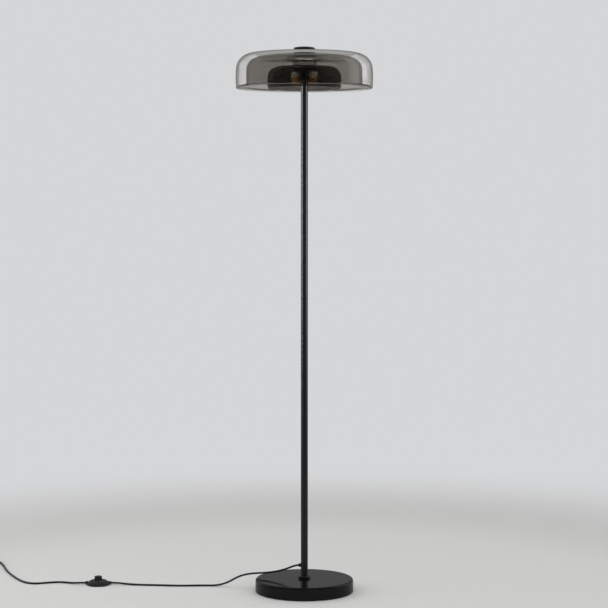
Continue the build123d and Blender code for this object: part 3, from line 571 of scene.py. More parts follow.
@dataclass(frozen=True)
class Finish:
    """A surface finish: its slot in the record, its colour and how smooth it is."""

    slot: str
    colour: Rgb
    gloss: Gloss

    def dress(self, surface: Surface) -> None:
        """Give the material its patterns."""
        raise NotImplementedError


@dataclass(frozen=True)
class StoneFinish(Finish):
    """Polished dark stone: broken thin veins and fine crystals in a near-black ground."""

    vein: Rgb = (0.013, 0.013, 0.0135)
    vein_scale: float = 7.0
    vein_width: float = 0.014
    breaks_scale: float = 15.0
    breaks: Pair = (0.45, 0.7)
    crystal: Rgb = (0.008, 0.0083, 0.009)
    crystal_scale: float = 420.0
    wiped: Pair = (9.0, 0.035)
    dusty: Pair = (30.0, 0.03)
    specular: float = 0.24

    def dress(self, surface: Surface) -> None:
        """Dress the material: a vein runs where a noise is near one half, and shows where another is high.

        Args:
            surface: The material in the making.
        """
        graph = surface.graph
        drift = graph.noise(surface.place, self.vein_scale, 9.0, Distortion=1.6)
        gaps = graph.noise(surface.place, self.breaks_scale, 3.0)
        middle = graph.maths("ABSOLUTE", graph.maths("SUBTRACT", drift, 0.5))
        line = graph.ranged(middle, (self.vein_width, 0.0))
        vein = graph.maths("MULTIPLY", line, graph.ranged(gaps, self.breaks))
        grain = surface.effect(grain_group(), Scale=self.crystal_scale, Depth=4.0)
        ground = graph.blend(grain.outputs["Mask"], self.colour, self.crystal)
        surface.tint(vein, ground, self.vein)
        marks = surface.part(handling_group(), self.wiped)
        surface.shine(self.gloss, marks, surface.part(dust_group(), self.dusty))
        surface.set("Specular IOR Level", self.specular)


@dataclass(frozen=True)
class PaintFinish(Finish):
    """Sprayed paint on metal: a fine orange peel, wiped patches and a trace of dust on level faces."""

    grain: Pair = (700.0, 0.05)
    octaves: float = 2.0
    wiped: Pair = (14.0, 0.07)
    dust: Rgb = (0.04, 0.039, 0.038)
    dusty: Pair = (60.0, 0.12)
    bump: Pair = (0.12, 0.0002)
    sheen: Rgb = WHITE

    def dress(self, surface: Surface) -> None:
        """Dress the material.

        Args:
            surface: The material in the making.
        """
        grain = surface.effect(grain_group(), Scale=self.grain[0], Depth=self.octaves)
        marks = surface.part(handling_group(), self.wiped)
        settled = surface.graph.maths("MULTIPLY", *surface.part(dust_group(), self.dusty))
        surface.tint(settled, self.colour, self.dust)
        surface.shine(self.gloss, marks, (grain.outputs["Mask"], self.grain[1]))
        surface.relief(grain, *self.bump)
        surface.set("Specular Tint", (*self.sheen, 1.0))


@dataclass(frozen=True)
class MouldedFinish(PaintFinish):
    """Moulded plastic, rubber or fired clay: as paint, with an etched grain and more dust."""

    grain: Pair = (1100.0, 0.08)
    octaves: float = 3.0
    wiped: Pair = (26.0, 0.08)
    dust: Rgb = (0.12, 0.118, 0.115)
    dusty: Pair = (90.0, 0.16)
    bump: Pair = (0.25, 0.0002)


@dataclass(frozen=True)
class MetalFinish(Finish):
    """Metal with fine marks that run round the lamp's axis, and a slightly darker tone in the marks."""

    tone: Rgb = (0.4, 0.4, 0.4)
    lines: float = 2600.0
    lined: float = 0.06
    wiped: Pair = (30.0, 0.1)
    bump: Pair = (0.08, 0.0001)
    metal: float = 1.0

    def dress(self, surface: Surface) -> None:
        """Dress the material.

        Args:
            surface: The material in the making.
        """
        lines = surface.turned(self.lines)
        mask = lines.outputs["Mask"]
        surface.set("Metallic", self.metal)
        surface.tint(mask, self.tone, self.colour)
        surface.shine(self.gloss, surface.part(handling_group(), self.wiped), (mask, self.lined))
        surface.relief(lines, *self.bump)


@dataclass(frozen=True)
class GlassFinish(Finish):
    """Blown glass: tinted through, with a faint film of handling on a mirror-smooth skin."""

    refraction: float
    film: Pair = (11.0, 0.005)

    def dress(self, surface: Surface) -> None:
        """Dress the material.

        Args:
            surface: The material in the making.
        """
        film = surface.part(handling_group(), self.film)
        surface.set("Transmission Weight", 1.0)
        surface.set("IOR", self.refraction)
        surface.feed("Roughness", surface.graph.maths("MULTIPLY", *film))


@dataclass(frozen=True)
class FrostedFinish(Finish):
    """Frosted glass: light comes through it softly, and its skin has a fine even tooth."""

    through: float = 0.08
    tooth: float = 1500.0
    shade: float = 0.9
    wiped: Pair = (40.0, 0.08)
    bump: Pair = (0.15, 0.0001)

    def dress(self, surface: Surface) -> None:
        """Dress the material.

        Args:
            surface: The material in the making.
        """
        grain = surface.effect(grain_group(), Scale=self.tooth, Depth=3.0)
        shade = tuple(channel * self.shade for channel in self.colour)
        surface.tint(grain.outputs["Mask"], shade, self.colour)
        surface.set("Transmission Weight", self.through)
        surface.shine(self.gloss, surface.part(handling_group(), self.wiped))
        surface.relief(grain, *self.bump)


@dataclass(frozen=True)
class FeltFinish(Finish):
    """Pressed felt: short crossed fibres of two greys with a soft sheen."""

    fibre: Rgb = (0.06, 0.06, 0.064)
    fibre_scale: float = 600.0
    sheen: float = 0.25
    bump: Pair = (0.7, 0.0006)

    def dress(self, surface: Surface) -> None:
        """Dress the material.

        Args:
            surface: The material in the making.
        """
        fibres = surface.effect(grain_group(), Scale=self.fibre_scale, Depth=6.0)
        surface.tint(fibres.outputs["Mask"], self.colour, self.fibre)
        surface.set("Sheen Weight", self.sheen)
        surface.relief(fibres, *self.bump)


@cache
def material_for(finish: Finish) -> Material:
    """The material of a finish, made once.

    Args:
        finish: The finish.

    Returns:
        The material.
    """
    surface = Surface(finish.slot, finish.colour, finish.gloss)
    finish.dress(surface)
    return surface.material


STONE = StoneFinish("polished_stone", (0.003, 0.003, 0.0032), Gloss.POLISHED)
FELT = FeltFinish("grey_felt", (0.03, 0.03, 0.032), Gloss.FIBROUS)
BLACK_PAINT = PaintFinish("black_metal", (0.005, 0.005, 0.0052), Gloss.SATIN)
# The pole's bluish specular tint is painted light: it gives the pole's reflections the colour of the window
# light.
POLE_PAINT = PaintFinish("black_metal", (0.007, 0.007, 0.0074), Gloss.SATIN, sheen=(0.92, 0.96, 1.0))
# The neck ring is black paint; its mid grey colour is painted light, standing in for the light that reaches
# it through the glass.
RING_PAINT_PAINTED_LIGHT = PaintFinish("black_metal", (0.18, 0.176, 0.166), Gloss.EGGSHELL)
STEEL = MetalFinish("bare_steel", (0.56, 0.56, 0.57), Gloss.SATIN)
# The spacer is polished metal; its pale, mostly diffuse colour is a painted reflection of the bright room
# that it would mirror.
SPACER_METAL_PAINTED_REFLECTION = MetalFinish(
    "mirror_metal", (0.86, 0.85, 0.83), Gloss.SATIN,
    tone=(0.78, 0.77, 0.75), lines=1800.0, bump=(0.02, 0.0001), metal=0.15,
)
# The copper is half diffuse with a brightened colour: painted light, standing in for the light that reaches
# it inside the dark dome.
COPPER_PAINTED_LIGHT = MetalFinish("copper_metal", (0.95, 0.48, 0.21), Gloss.SATIN, tone=(0.86, 0.4, 0.16), metal=0.45)
BRASS = MetalFinish("brass_metal", (0.72, 0.55, 0.28), Gloss.SATIN, tone=(0.6, 0.45, 0.22))
CLEAR_GLASS = GlassFinish("clear_glass", (0.955, 0.95, 0.94), Gloss.MIRROR, refraction=1.4)
SMOKED_GLASS = GlassFinish("smoked_glass", (0.51, 0.495, 0.468), Gloss.MIRROR, refraction=1.12)
DARK_GLASS = GlassFinish("dark_glass", (0.265, 0.253, 0.235), Gloss.MIRROR, refraction=1.25)
FROSTED = FrostedFinish("frosted_glass", (0.88, 0.87, 0.83), Gloss.EGGSHELL)
CERAMIC = MouldedFinish(
    "white_ceramic", (0.7, 0.69, 0.66), Gloss.EGGSHELL,
    grain=(900.0, 0.08), dust=(0.6, 0.59, 0.57), bump=(0.12, 0.0002),
)
SHEATH = MouldedFinish(
    "cord_sheath", (0.008, 0.008, 0.0082), Gloss.SATIN, grain=(1600.0, 0.08), bump=(0.1, 0.0002),
)
SWITCH_PLASTIC = MouldedFinish("switch_plastic", (0.011, 0.011, 0.0115), Gloss.EGGSHELL)
PALE_PLASTIC = MouldedFinish(
    "inner_plastic", (0.55, 0.55, 0.53), Gloss.EGGSHELL, dust=(0.5, 0.5, 0.48), bump=(0.2, 0.0002),
)
RUBBER = MouldedFinish("black_rubber", (0.012, 0.012, 0.012), Gloss.MATT)


# Sub-assemblies


class Assembly:
    """A sub-assembly of the lamp: it builds its own meshes and dresses the nodes that it keeps."""

    def keep(self, finish: Finish, *nodes: str) -> None:
        """Give nodes whose shape is right a finish.

        Args:
            finish: The finish to give.
            nodes: The nodes' names.
        """
        for node in nodes:
            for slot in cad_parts[node].material_slots:
                slot.material = material_for(finish)
            log.info("%s: %s", node, finish.slot)

    def replace(self, piece: Piece, finish: Finish, *nodes: str) -> None:
        """Let a new piece stand for nodes of the lamp's body, in a finish.

        Args:
            piece: The new piece.
            finish: Its finish.
            nodes: The nodes that it stands for.
        """
        piece.data.materials.append(material_for(finish))
        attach(piece, LAMP_BODY)
        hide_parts(*nodes)
        log.info("%s for %s: %s", piece.name, ", ".join(nodes), finish.slot)

    def build(self) -> None:
        """Build and dress the sub-assembly."""
        raise NotImplementedError


@dataclass
class Camera:
    """The camera, fitted to the photograph: its place, its tilt and its lens."""

    distance: float = 5.1788
    height: float = 1.0916
    tilt_down: float = 2.9629
    yaw_left: float = 0.011
    lens: float = 108.087
    sensor: float = 36.0

    def build(self) -> None:
        """Make the camera and let the scene look through it."""
        data = bpy.data.cameras.new("camera")
        data.lens = self.lens
        data.sensor_width = self.sensor
        camera = linked("camera", data)
        camera.location = (0.0, -self.distance, self.height)
        camera.rotation_euler = (math.radians(90 - self.tilt_down), 0.0, math.radians(self.yaw_left))
        bpy.context.scene.camera = camera


@dataclass
class Coil:
    """The coil of spare cord: flat half turns that spiral in, climb a layer and spiral out again."""

    centre: Pair = (-0.9835, 0.411)
    heading: float = 24.0
    radius: float = 0.038
    pitch: float = 0.0074
    layer: float = 0.0064
    floor: float = 0.0048
    turns_in_layer: int = 2
    points_in_half_turn: int = 12

    @property
    def upper(self) -> float:
        """The height of the upper layer's middle."""
        return self.floor + self.layer

    def placed(self, points: np.ndarray) -> np.ndarray:
        """Points of the coil's own frame, turned by its heading about Z and moved to its centre.

        Args:
            points: The points as (x, y, z) rows.

        Returns:
            The points in the lamp's frame.
        """
        turn = math.radians(self.heading)
        cosine, sine = math.cos(turn), math.sin(turn)
        matrix = np.array(((cosine, sine, 0), (-sine, cosine, 0), (0, 0, 1)))
        return points @ matrix + np.array((*self.centre, 0.0))

    def turns(self) -> np.ndarray:
        """Control points of the turns.

        Each half turn is a half circle between two crossings of the X axis: its middle plus its reach times
        (cos, sin), with the height following the cosine where it climbs. The reach is larger than the
        cord's by 1 / cos(half a step), because the smooth line passes inside its control points.

        Returns:
            The points in the lamp's frame.
        """
        halves = 2 * self.turns_in_layer
        shrink = self.radius - np.arange(halves + 1) * self.pitch / 2
        reach = np.concatenate((shrink, shrink[::-1]))
        height = np.concatenate((np.full(halves + 1, self.floor), np.full(halves + 1, self.upper)))
        side = np.where(np.arange(len(reach)) % 2 == 0, 1.0, -1.0)
        across = side * reach
        step = math.pi / self.points_in_half_turn
        angle = (np.arange(self.points_in_half_turn) + 0.5) * step
        middle = (across[:-1] + across[1:]) / 2
        half = np.abs(across[1:] - across[:-1]) / 2 / math.cos(step / 2)
        x = middle[:, None] + (side[:-1] * half)[:, None] * np.cos(angle)
        y = (side[:-1] * half)[:, None] * np.sin(angle)
        level = (height[:-1] + height[1:]) / 2
        z = level[:, None] - ((height[1:] - height[:-1]) / 2)[:, None] * np.cos(angle)
        return self.placed(np.stack((x, y, z), axis=-1).reshape(-1, 3))


@dataclass
class MainsCord(Assembly):
    """The cord: from the pole to the foot switch, and on to its coil and plug."""

    diameter: float = 0.0056
    floor: float = 0.0029
    exit_height: float = 0.0755
    entry_height: float = 0.0062
    switch: Pair = (-0.600, 0.088)
    nose: float = 0.0375
    straight_nose: float = 0.054
    lead_in: float = 0.058
    tail_straight: float = 0.020
    tail_bend: float = 0.040
    tail_length: float = 0.058
    tail_side: float = 0.0025
    plug_height: float = 0.007
    length_to_switch: float = 0.568
    length_to_plug: float = 1.442

    def route_to_switch(self) -> list[Point]:
        """Points of the route from the pole's grommet to the switch."""
        level = ((-0.252, 0.065), (-0.300, 0.068), (-0.362, 0.062), (-0.424, 0.071), (-0.484, 0.076))
        return [
            (-0.017, 0.0, self.exit_height), (-0.026, 0.0, 0.0745), (-0.040, 0.001, 0.069),
            (-0.066, 0.008, 0.058), (-0.108, 0.018, 0.0495), (-0.152, 0.027, 0.0465),
            (-0.188, 0.041, 0.036), (-0.220, 0.055, 0.0145),
            *((x, y, self.floor) for x, y in level),
            (-0.521, 0.086, 0.0036),
            (self.switch[0] + self.straight_nose, self.switch[1], self.entry_height),
            (self.switch[0] + self.nose, self.switch[1], self.entry_height),
        ]

    def route_to_coil(self) -> list[Point]:
        """Points of the route from the switch to the coil's way in."""
        level = (
            (-0.715, 0.118), (-0.752, 0.105), (-0.788, 0.090), (-0.820, 0.112),
            (-0.847, 0.160), (-0.875, 0.222), (-0.902, 0.292),
        )
        return [
            (self.switch[0] - self.nose, self.switch[1], self.entry_height),
            (self.switch[0] - self.straight_nose, self.switch[1], self.entry_height),
            (-0.677, 0.097, 0.0036),
            *((x, y, self.floor) for x, y in level),
        ]

    def coiled_route(self, coil: Coil) -> np.ndarray:
        """The whole route from the switch through the coil to the plug.

        Args:
            coil: The coil on the way.

        Returns:
            The control points of one line.
        """
        start = -self.diameter
        plug_side = -coil.radius - self.tail_side
        way_in = np.array((
            (coil.radius, start - self.lead_in, coil.floor),
            (coil.radius, start, coil.floor),
        ))
        tail = np.array((
            (-coil.radius, start, coil.upper),
            (-coil.radius, start - self.tail_straight, coil.upper),
            (plug_side, start - self.tail_bend, self.plug_height),
            (plug_side, start - self.tail_length, self.plug_height),
        ))
        return np.vstack((self.route_to_coil(), coil.placed(way_in), coil.turns(), coil.placed(tail)))

    def laid(self, name: str, points: Sequence[Point] | np.ndarray) -> Piece:
        """A round cord on one smooth line with the route's points as its control points.

        Args:
            name: The new object's name.
            points: The control points.

        Returns:
            The cord as a curve with a round section.
        """
        curve = bpy.data.curves.new(name, "CURVE")
        curve.dimensions = "3D"
        curve.bevel_depth = self.diameter / 2
        curve.bevel_resolution = 4
        curve.resolution_u = 8
        curve.use_fill_caps = True
        spline = curve.splines.new("NURBS")
        spline.points.add(len(points) - 1)
        weighted = np.column_stack((np.asarray(points), np.ones(len(points))))
        spline.points.foreach_set("co", weighted.ravel())
        spline.order_u = 3
        spline.use_endpoint_u = True
        return linked(name, curve)

    def build(self) -> None:
        to_switch = self.laid("cord_pole_to_switch", self.route_to_switch())
        self.replace(to_switch, SHEATH, "cord_to_switch")
        to_plug = self.laid("cord_switch_to_plug", self.coiled_route(Coil()))
        self.replace(to_plug, SHEATH, "cord_to_coil", "cord_coil", "cord_to_plug")
        self.keep(RUBBER, "coil_tie")
        self.keep(SWITCH_PLASTIC, "plug_body")
        self.keep(BRASS, "plug_pins")
        self.keep(SHEATH, "cord_grommet", "pole_cable")


@dataclass
class StoneBase(Assembly):
    """The stone disc with its felt, the collar on it and the fittings in its pocket."""

    def build(self) -> None:
        """Dress the disc, the felt, the collar and the fittings."""
        self.keep(STONE, "base_disc")
        self.keep(FELT, "base_felt")
        self.keep(BLACK_PAINT, "base_collar")
        self.keep(STEEL, "base_washer", "base_nut", "base_stud")


@dataclass
class Pole(Assembly):
    """The pole's three tubes and the fittings inside them."""

    def build(self) -> None:
        """Dress the tubes and the fittings."""
        self.keep(POLE_PAINT, *POLE_TUBES)
        self.keep(STEEL, "lower_coupler", "upper_coupler", "pole_foot_insert", "pole_top_insert")


@dataclass
class BellShell:
    """A blown glass bell: flat crown, round shoulder and a slightly bulged wall down to a flat rim."""

    name: str
    node: str
    glass: float
    hole: float
    shoulder: float
    bulge_height: float
    bulge_radius: float
    finish: GlassFinish
    corner: float = field(default=0.0007, kw_only=True)

    def wall_line(self, radius: float, top: float, inner: float, rim: float, bulge: float) -> np.ndarray:
        """The middle of the wall: crown from inner outwards, arc of the shoulder, arc of the bulge.

        Args:
            radius: The bell's largest outside radius.
            top: The height of the crown's upper face.
            inner: Where the crown starts.
            rim: The height where the wall's middle ends.
            bulge: The height where the wall is widest.

        Returns:
            The middle as (r, z) rows.
        """
        half = self.glass / 2
        wall = self.bulge_radius - half
        turn = self.shoulder - half
        centre = (radius - half - wall, bulge)
        height = top - half - turn
        reach = centre[0] + math.sqrt((wall - turn) ** 2 - (height - centre[1]) ** 2)
        join = math.degrees(math.atan2(height - centre[1], reach - centre[0]))
        end = math.degrees(math.asin((rim - centre[1]) / wall))
        return joined(
            np.linspace((inner, top - half), (reach, top - half), CROWN_POINTS),
            arc((reach, height), turn, 90, join, WALL_POINTS),
            arc(centre, wall, join, end, WALL_POINTS),
        )

    def midline(self) -> np.ndarray:
        """The middle of this bell's wall from its hole to its rim.

        Returns:
            The middle as (r, z) rows.
        """
        low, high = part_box(self.node)
        half = self.glass / 2
        bulge = low.z + self.bulge_height
        return self.wall_line(high.x, high.z, self.hole / 2 + half, low.z + half, bulge)

    def build(self) -> Piece:
        """Turn the wall's outline into the shell."""
        return revolve(self.name, walled(self.midline(), self.glass, self.corner), Turn.SHELL)


@dataclass
class DippedShell(BellShell):
    """A bell whose crown dips in an S to a flat centre, and whose wall turns out into a flat brim."""

    widest: float
    flat_end: float
    dip_run: float
    rise: float
    brim_round: float

    def midline(self) -> np.ndarray:
        """The middle of this bell's wall: flat centre, two arcs of the dip, bell, arc and flat of the brim.

        Returns:
            The middle as (r, z) rows.
        """
        low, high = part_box(self.node)
        half = self.glass / 2
        lean = 2 * math.degrees(math.atan2(self.rise, self.dip_run))
        bend = self.dip_run / (2 * math.sin(math.radians(lean)))
        bottom = high.z - self.rise - half
        top = high.z - half
        brim = low.z + half
        wall_end = brim + self.brim_round
        wall = self.widest / 2 - half
        bell = self.wall_line(self.widest / 2, high.z, self.flat_end + self.dip_run, wall_end, wall_end)
        return joined(
            np.linspace((self.hole / 2 + half, bottom), (self.flat_end, bottom), FLAT_POINTS),
            arc((self.flat_end, bottom + bend), bend, -90, -90 + lean, DIP_POINTS),
            arc((self.flat_end + self.dip_run, top - bend), bend, 90 + lean, 90, DIP_POINTS),
            bell,
            arc((wall + self.brim_round, wall_end), self.brim_round, 180, 270, BRIM_POINTS),
            np.linspace((wall + self.brim_round, brim), (high.x - half, brim), FLAT_POINTS),
        )


@dataclass
class GlassShade(Assembly):
    """The three nested glass shells on their stem, with the ring, spacer and cap that clamp them."""

    hole: float = 0.012

    def shells(self) -> list[BellShell]:
        """The shells from the outside in.

        Returns:
            The three shells.
        """
        clear, smoked, dark = SHELL_NAMES
        return [
            BellShell(clear, "outer_glass_shade", 0.004, self.hole, 0.045, 0.030, 0.300, CLEAR_GLASS),
            DippedShell(
                smoked, "middle_glass_shade", 0.0035, self.hole, 0.037, 0.0, 1.2, SMOKED_GLASS,
                widest=0.3285, flat_end=0.035, dip_run=0.027, rise=0.011, brim_round=0.008,
            ),
            BellShell(dark, "inner_glass_dome", 0.0035, self.hole, 0.028, 0.019, 0.150, DARK_GLASS),
        ]

    def build(self) -> None:
        """Build the shells and dress the fittings on the stem."""
        for shell in self.shells():
            self.replace(shell.build(), shell.finish, shell.node)
        self.keep(BLACK_PAINT, "support_plate", "top_cap")
        self.keep(RING_PAINT_PAINTED_LIGHT, "neck_ring")
        self.keep(SPACER_METAL_PAINTED_REFLECTION, "neck_spacer")
        self.keep(STEEL, "stem_nipple", "clamp_washer", "clamp_nut")
        self.keep(RUBBER, "dome_gaskets", "middle_gaskets", "outer_gaskets")


@dataclass
class LampCluster(Assembly):
    """The bridge on the pole with its two lamps and their wiring."""

    def build(self) -> None:
        """Dress the bridge, the holders, the lamps and the wiring."""
        self.keep(COPPER_PAINTED_LIGHT, "lamp_bridge", "lamp_holders", "holder_rivets")
        self.keep(STEEL, "bridge_grub_screw", "lamp_pins")
        self.keep(CERAMIC, "holder_inserts", "lamp_feet")
        self.keep(FROSTED, "capsule_lamps")
        self.keep(PALE_PLASTIC, "terminal_block")
        self.keep(SHEATH, "lamp_leads")


@dataclass
class FootSwitch(Assembly):
    """The foot switch on the cord, with its button and what is inside it."""

    wire: float = 0.0009
    turns: int = 5
    travel: float = 0.0035

    def spring(self) -> None:
        """Wind the button's spring at its rest length and give it a mesh of its own. The real spring shortens
        by the button's travel as the button goes down.
        """
        low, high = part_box("switch_spring")
        axis = ((low.x + high.x) / 2, (low.y + high.y) / 2)
        tall = high.z - low.z
        reach = (high.x - low.x - self.wire) / 2
        foot = (*axis, low.z + self.wire / 2)
        spring = wound("button_spring", foot, reach, self.wire, self.turns, tall - self.wire)
        self.replace(spring, STEEL, "switch_spring")
        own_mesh(spring)

    def build(self) -> None:
        """Dress the housing, the button and the works."""
        self.spring()
        self.keep(SWITCH_PLASTIC, "switch_housing", "switch_cover", "switch_button")
        self.keep(RUBBER, "switch_feet")
        self.keep(STEEL, "switch_screws")
        self.keep(PALE_PLASTIC, "switch_contact_block")
        self.keep(BRASS, "switch_contacts")
        self.keep(SHEATH, "switch_cord_ends")


# Stage


@dataclass
class SoftBox:
    """A large soft lamp: where it stands, what it looks at, its sides, its power and what alone it lights."""

    name: str
    place: Point
    aim: Point
    sides: Pair
    watts: float
    only: tuple[str, ...] = ()

    def listed(self, names: Sequence[str], state: str) -> bpy.types.Collection:
        """A collection that takes pieces into one of the lamp's lists, or keeps them out of it.

        Args:
            names: The pieces' names.
            state: INCLUDE or EXCLUDE.

        Returns:
            The new collection.
        """
        group = bpy.data.collections.new(f"{self.name}_{state.lower()}")
        for name in names:
            group.objects.link(bpy.data.objects[name])
        for item in group.collection_objects:
            item.light_linking.link_state = state
        return group

    def build(self) -> None:
        """Make the lamp and turn it to what it lights.

        Its light goes through the glass shells. One that lights only some pieces also shows in their gloss.
        """
        data = bpy.data.lights.new(self.name, "AREA")
        data.shape = "RECTANGLE"
        data.size, data.size_y = self.sides
        data.energy = self.watts
        lamp = linked(self.name, data)
        lamp.visible_glossy = bool(self.only)
        lamp.visible_transmission = False
        lamp.light_linking.blocker_collection = self.listed(SHELL_NAMES, "EXCLUDE")
        if self.only:
            lamp.light_linking.receiver_collection = self.listed(self.only, "INCLUDE")
        away = np.array(self.place) - np.array(self.aim)
        lamp.location = self.place
        tilt = math.atan2(math.hypot(away[0], away[1]), away[2])
        lamp.rotation_euler = (tilt, 0.0, math.atan2(away[0], -away[1]))


@dataclass(frozen=True)
class Window:
    """A soft bright patch that gloss mirrors.

    Its heading is in degrees from the camera's side towards the right. Its sill and its head are sines of
    the ray's rise between which it fades in and out. Its strength is white at 1.
    """

    heading: float
    half_width: float
    margin: float
    sill: Pair
    head: Pair
    strength: float

    def glow(self, graph: Graph, level: Socket, rise: Socket) -> Socket:
        """The patch's light: its strength times smooth steps over the heading, the sill and the head.

        Args:
            graph: The world's graph.
            level: The ray's direction, laid level and of length 1.
            rise: The sine of the ray's rise.

        Returns:
            The light towards the ray.
        """
        turn = math.radians(self.heading)
        inputs = {0: level, 1: (math.sin(turn), -math.cos(turn), 0.0)}
        facing = graph.add("ShaderNodeVectorMath", inputs, operation="DOT_PRODUCT").outputs["Value"]
        outer = math.cos(math.radians(self.half_width + self.margin))
        inner = math.cos(math.radians(self.half_width - self.margin))
        across = graph.ranged(facing, (outer, inner), (0.0, self.strength))
        above = graph.ranged(rise, self.sill)
        below = graph.ranged(rise, self.head, (1.0, 0.0))
        return graph.maths("MULTIPLY", across, graph.maths("MULTIPLY", above, below))


# Between which rises the windows of each kind stand
TALL = {"sill": (-0.09, -0.01), "head": (0.5, 0.9)}
HIGH = {"sill": (0.03, 0.06), "head": (0.5, 0.9)}
LOW = {"sill": (-0.7, -0.45), "head": (-0.2, -0.14)}
BACK = {"sill": (-0.2, -0.14), "head": (-0.05, -0.02)}


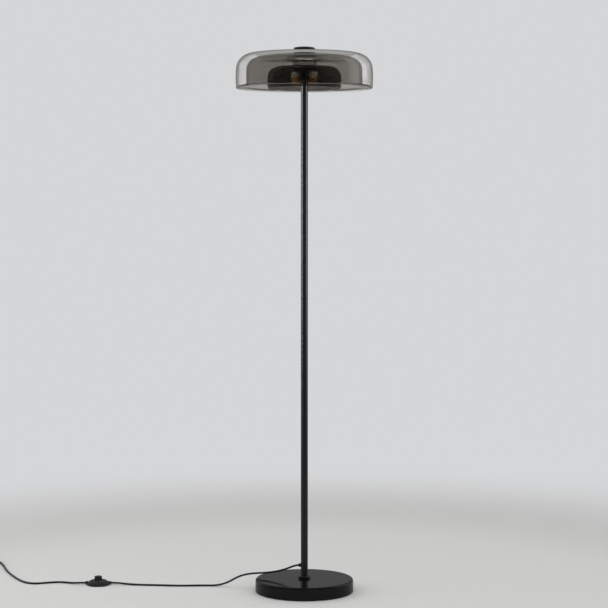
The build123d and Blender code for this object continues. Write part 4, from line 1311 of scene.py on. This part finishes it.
@dataclass
class Studio:
    """The pale floor, the pale backdrop of the world and the soft lamps."""

    floor_colour: Rgb = (0.68, 0.677, 0.67)
    floor_shade: float = 0.98
    floor_grain: Pair = (30.0, 5.0)
    floor_specular: float = 0.1
    floor_radius: float = 2.6
    floor_depth: float = 0.01
    floor_rings: int = 5
    fade_start: float = 0.9
    backdrop: Rgb = (0.665, 0.672, 0.685)
    mirrored_tint: Rgb = (1.0, 0.99, 0.975)
    front_light: float = 0.022
    back_light: float = 0.2
    back_reach: Pair = (-0.4, 0.5)
    ceiling_light: float = 0.15
    ceiling_rise: Pair = (0.3, 0.75)
    ambient: float = 0.75
    sheltered: Pair = (0.9, 5.0)
    faces_crossed: Pair = (4.0, 12.0)
    bounces: int = 32
    lamp_middle: Point = (0.0, 0.0, 0.9)
    pole_middle: Point = (0.0, 0.0, 1.3)
    windows: tuple[Window, ...] = (
        Window(-93.0, 8.0, 7.0, strength=0.05, **TALL),
        Window(-130.0, 8.0, 7.0, strength=0.35, **TALL),
        Window(94.0, 9.0, 8.0, strength=0.75, **TALL),
        Window(121.0, 8.0, 6.0, strength=0.6, **HIGH),
        Window(-105.0, 32.0, 14.0, strength=0.3, **LOW),
        Window(105.0, 32.0, 14.0, strength=0.2, **LOW),
    )
    back_window: Window = Window(180.0, 26.0, 12.0, strength=0.5, **BACK)

    def floor(self) -> None:
        """A round floor that fades into the backdrop towards its edge."""
        rings = np.linspace(0.0, self.floor_radius, self.floor_rings)
        levels = np.repeat((0.0, -self.floor_depth), self.floor_rings)
        floor = revolve("floor", np.column_stack((np.concatenate((rings, rings[::-1])), levels)), Turn.FLOOR)
        surface = Surface("pale_floor", self.floor_colour, Gloss.MATT)
        graph = surface.graph
        scale, depth = self.floor_grain
        grain = surface.effect(grain_group(), Scale=scale, Depth=depth)
        shade = tuple(channel * self.floor_shade for channel in self.floor_colour)
        surface.tint(grain.outputs["Mask"], shade, self.floor_colour)
        surface.set("Specular IOR Level", self.floor_specular)
        reach = graph.add("ShaderNodeVectorMath", {0: surface.place}, operation="LENGTH").outputs["Value"]
        gone = graph.ranged(reach, (self.fade_start, self.floor_radius))
        clear = graph.add("ShaderNodeBsdfTransparent").outputs[0]
        mixed = graph.either(gone, surface.shader.outputs[0], clear)
        graph.link(mixed, graph.tree.nodes["Material Output"].inputs["Surface"])
        floor.data.materials.append(surface.material)

    def mirrored(self, graph: Graph, through: Socket) -> Socket:
        """What gloss mirrors: a dim front, a lighter back, a lighter ceiling and the windows.

        Args:
            graph: The world's graph.
            through: Whether the ray came through glass, 1 or 0. Only such a ray sees the back window.

        Returns:
            The light by the ray's direction.
        """
        heading = graph.add("ShaderNodeTexCoord").outputs["Generated"]
        split = graph.add("ShaderNodeSeparateXYZ", {0: heading})
        laid = graph.add("ShaderNodeVectorMath", {0: heading, 1: (1.0, 1.0, 0.0)}, operation="MULTIPLY")
        level = graph.add("ShaderNodeVectorMath", {0: laid.outputs[0]}, operation="NORMALIZE").outputs[0]
        rise = split.outputs["Z"]
        depth = (self.front_light, self.front_light + self.back_light)
        total = graph.ranged(split.outputs["Y"], self.back_reach, depth)
        total = graph.maths("ADD", total, graph.ranged(rise, self.ceiling_rise, (0.0, self.ceiling_light)))
        for window in self.windows:
            total = graph.maths("ADD", total, window.glow(graph, level, rise))
        backed = self.back_window.glow(graph, level, rise)
        return graph.maths("ADD", total, graph.maths("MULTIPLY", backed, through))

    def world(self) -> None:
        """A plain backdrop for the eye and through glass, a plain light on everything, a room for gloss.

        A ray that gloss has turned back sees the room, whatever glass it leaves through. What stands inside
        the glass gets more plain light behind more faces of glass, to make up for what their tints take away.
        """
        world = bpy.data.worlds.new("studio")
        world.use_nodes = True
        bpy.context.scene.world = world
        graph = Graph(world.node_tree)
        rays = graph.add("ShaderNodeLightPath").outputs
        through = rays["Is Transmission Ray"]
        room = graph.glow(self.mirrored_tint, self.mirrored(graph, through))
        shown = graph.glow(self.backdrop, 1.0)
        light = graph.glow(WHITE, self.ambient)
        plain = graph.either(graph.maths("MAXIMUM", rays["Is Camera Ray"], through), light, shown)
        share = graph.ranged(rays["Transmission Depth"], self.faces_crossed, self.sheltered)
        inside = graph.glow(WHITE, share)
        scattered = graph.maths("GREATER_THAN", rays["Diffuse Depth"], 0.5)
        lit = graph.either(graph.maths("MULTIPLY", scattered, through), plain, inside)
        turned_back = graph.maths("GREATER_THAN", rays["Glossy Depth"], 0.5)
        whole = graph.either(turned_back, lit, room)
        graph.link(whole, graph.tree.nodes["World Output"].inputs["Surface"])

    def lamps(self) -> None:
        """Soft lamps to the left, front right and above, and two strips that light only the pole's tubes."""
        left, right = (-1.95, -0.3, 1.3), (1.95, -0.55, 1.3)
        boxes = (
            SoftBox("left_window", (-3.2, -0.4, 1.6), self.lamp_middle, (1.6, 2.4), 25.0),
            SoftBox("right_fill", (2.4, -2.4, 1.3), self.lamp_middle, (0.9, 2.0), 8.0),
            SoftBox("top_soft", (0.3, -0.8, 3.6), self.lamp_middle, (2.4, 2.4), 18.0),
            SoftBox("left_strip", left, self.pole_middle, (1.0, 1.25), 38.0, POLE_TUBES),
            SoftBox("right_strip", right, self.pole_middle, (0.65, 1.25), 21.0, POLE_TUBES),
        )
        for box in boxes:
            box.build()

    def build(self) -> None:
        """Make the stage and set how light is followed through the nested glass."""
        scene = bpy.context.scene
        scene.view_settings.view_transform = "Standard"
        scene.cycles.max_bounces = self.bounces
        scene.cycles.transmission_bounces = self.bounces
        scene.cycles.glossy_bounces = self.bounces // 2
        scene.cycles.blur_glossy = 0.0
        scene.cycles.denoising_input_passes = "RGB"
        self.floor()
        self.world()
        self.lamps()


def main() -> None:
    """Build the camera and the cords, then every sub-assembly, then the stage."""
    logging.basicConfig(level=logging.INFO, format="%(name)s %(message)s")
    Camera().build()
    for assembly in (MainsCord(), StoneBase(), Pole(), GlassShade(), LampCluster(), FootSwitch()):
        log.info("building %s", type(assembly).__name__)
        assembly.build()
    Studio().build()


if __name__ == "__main__":
    main()
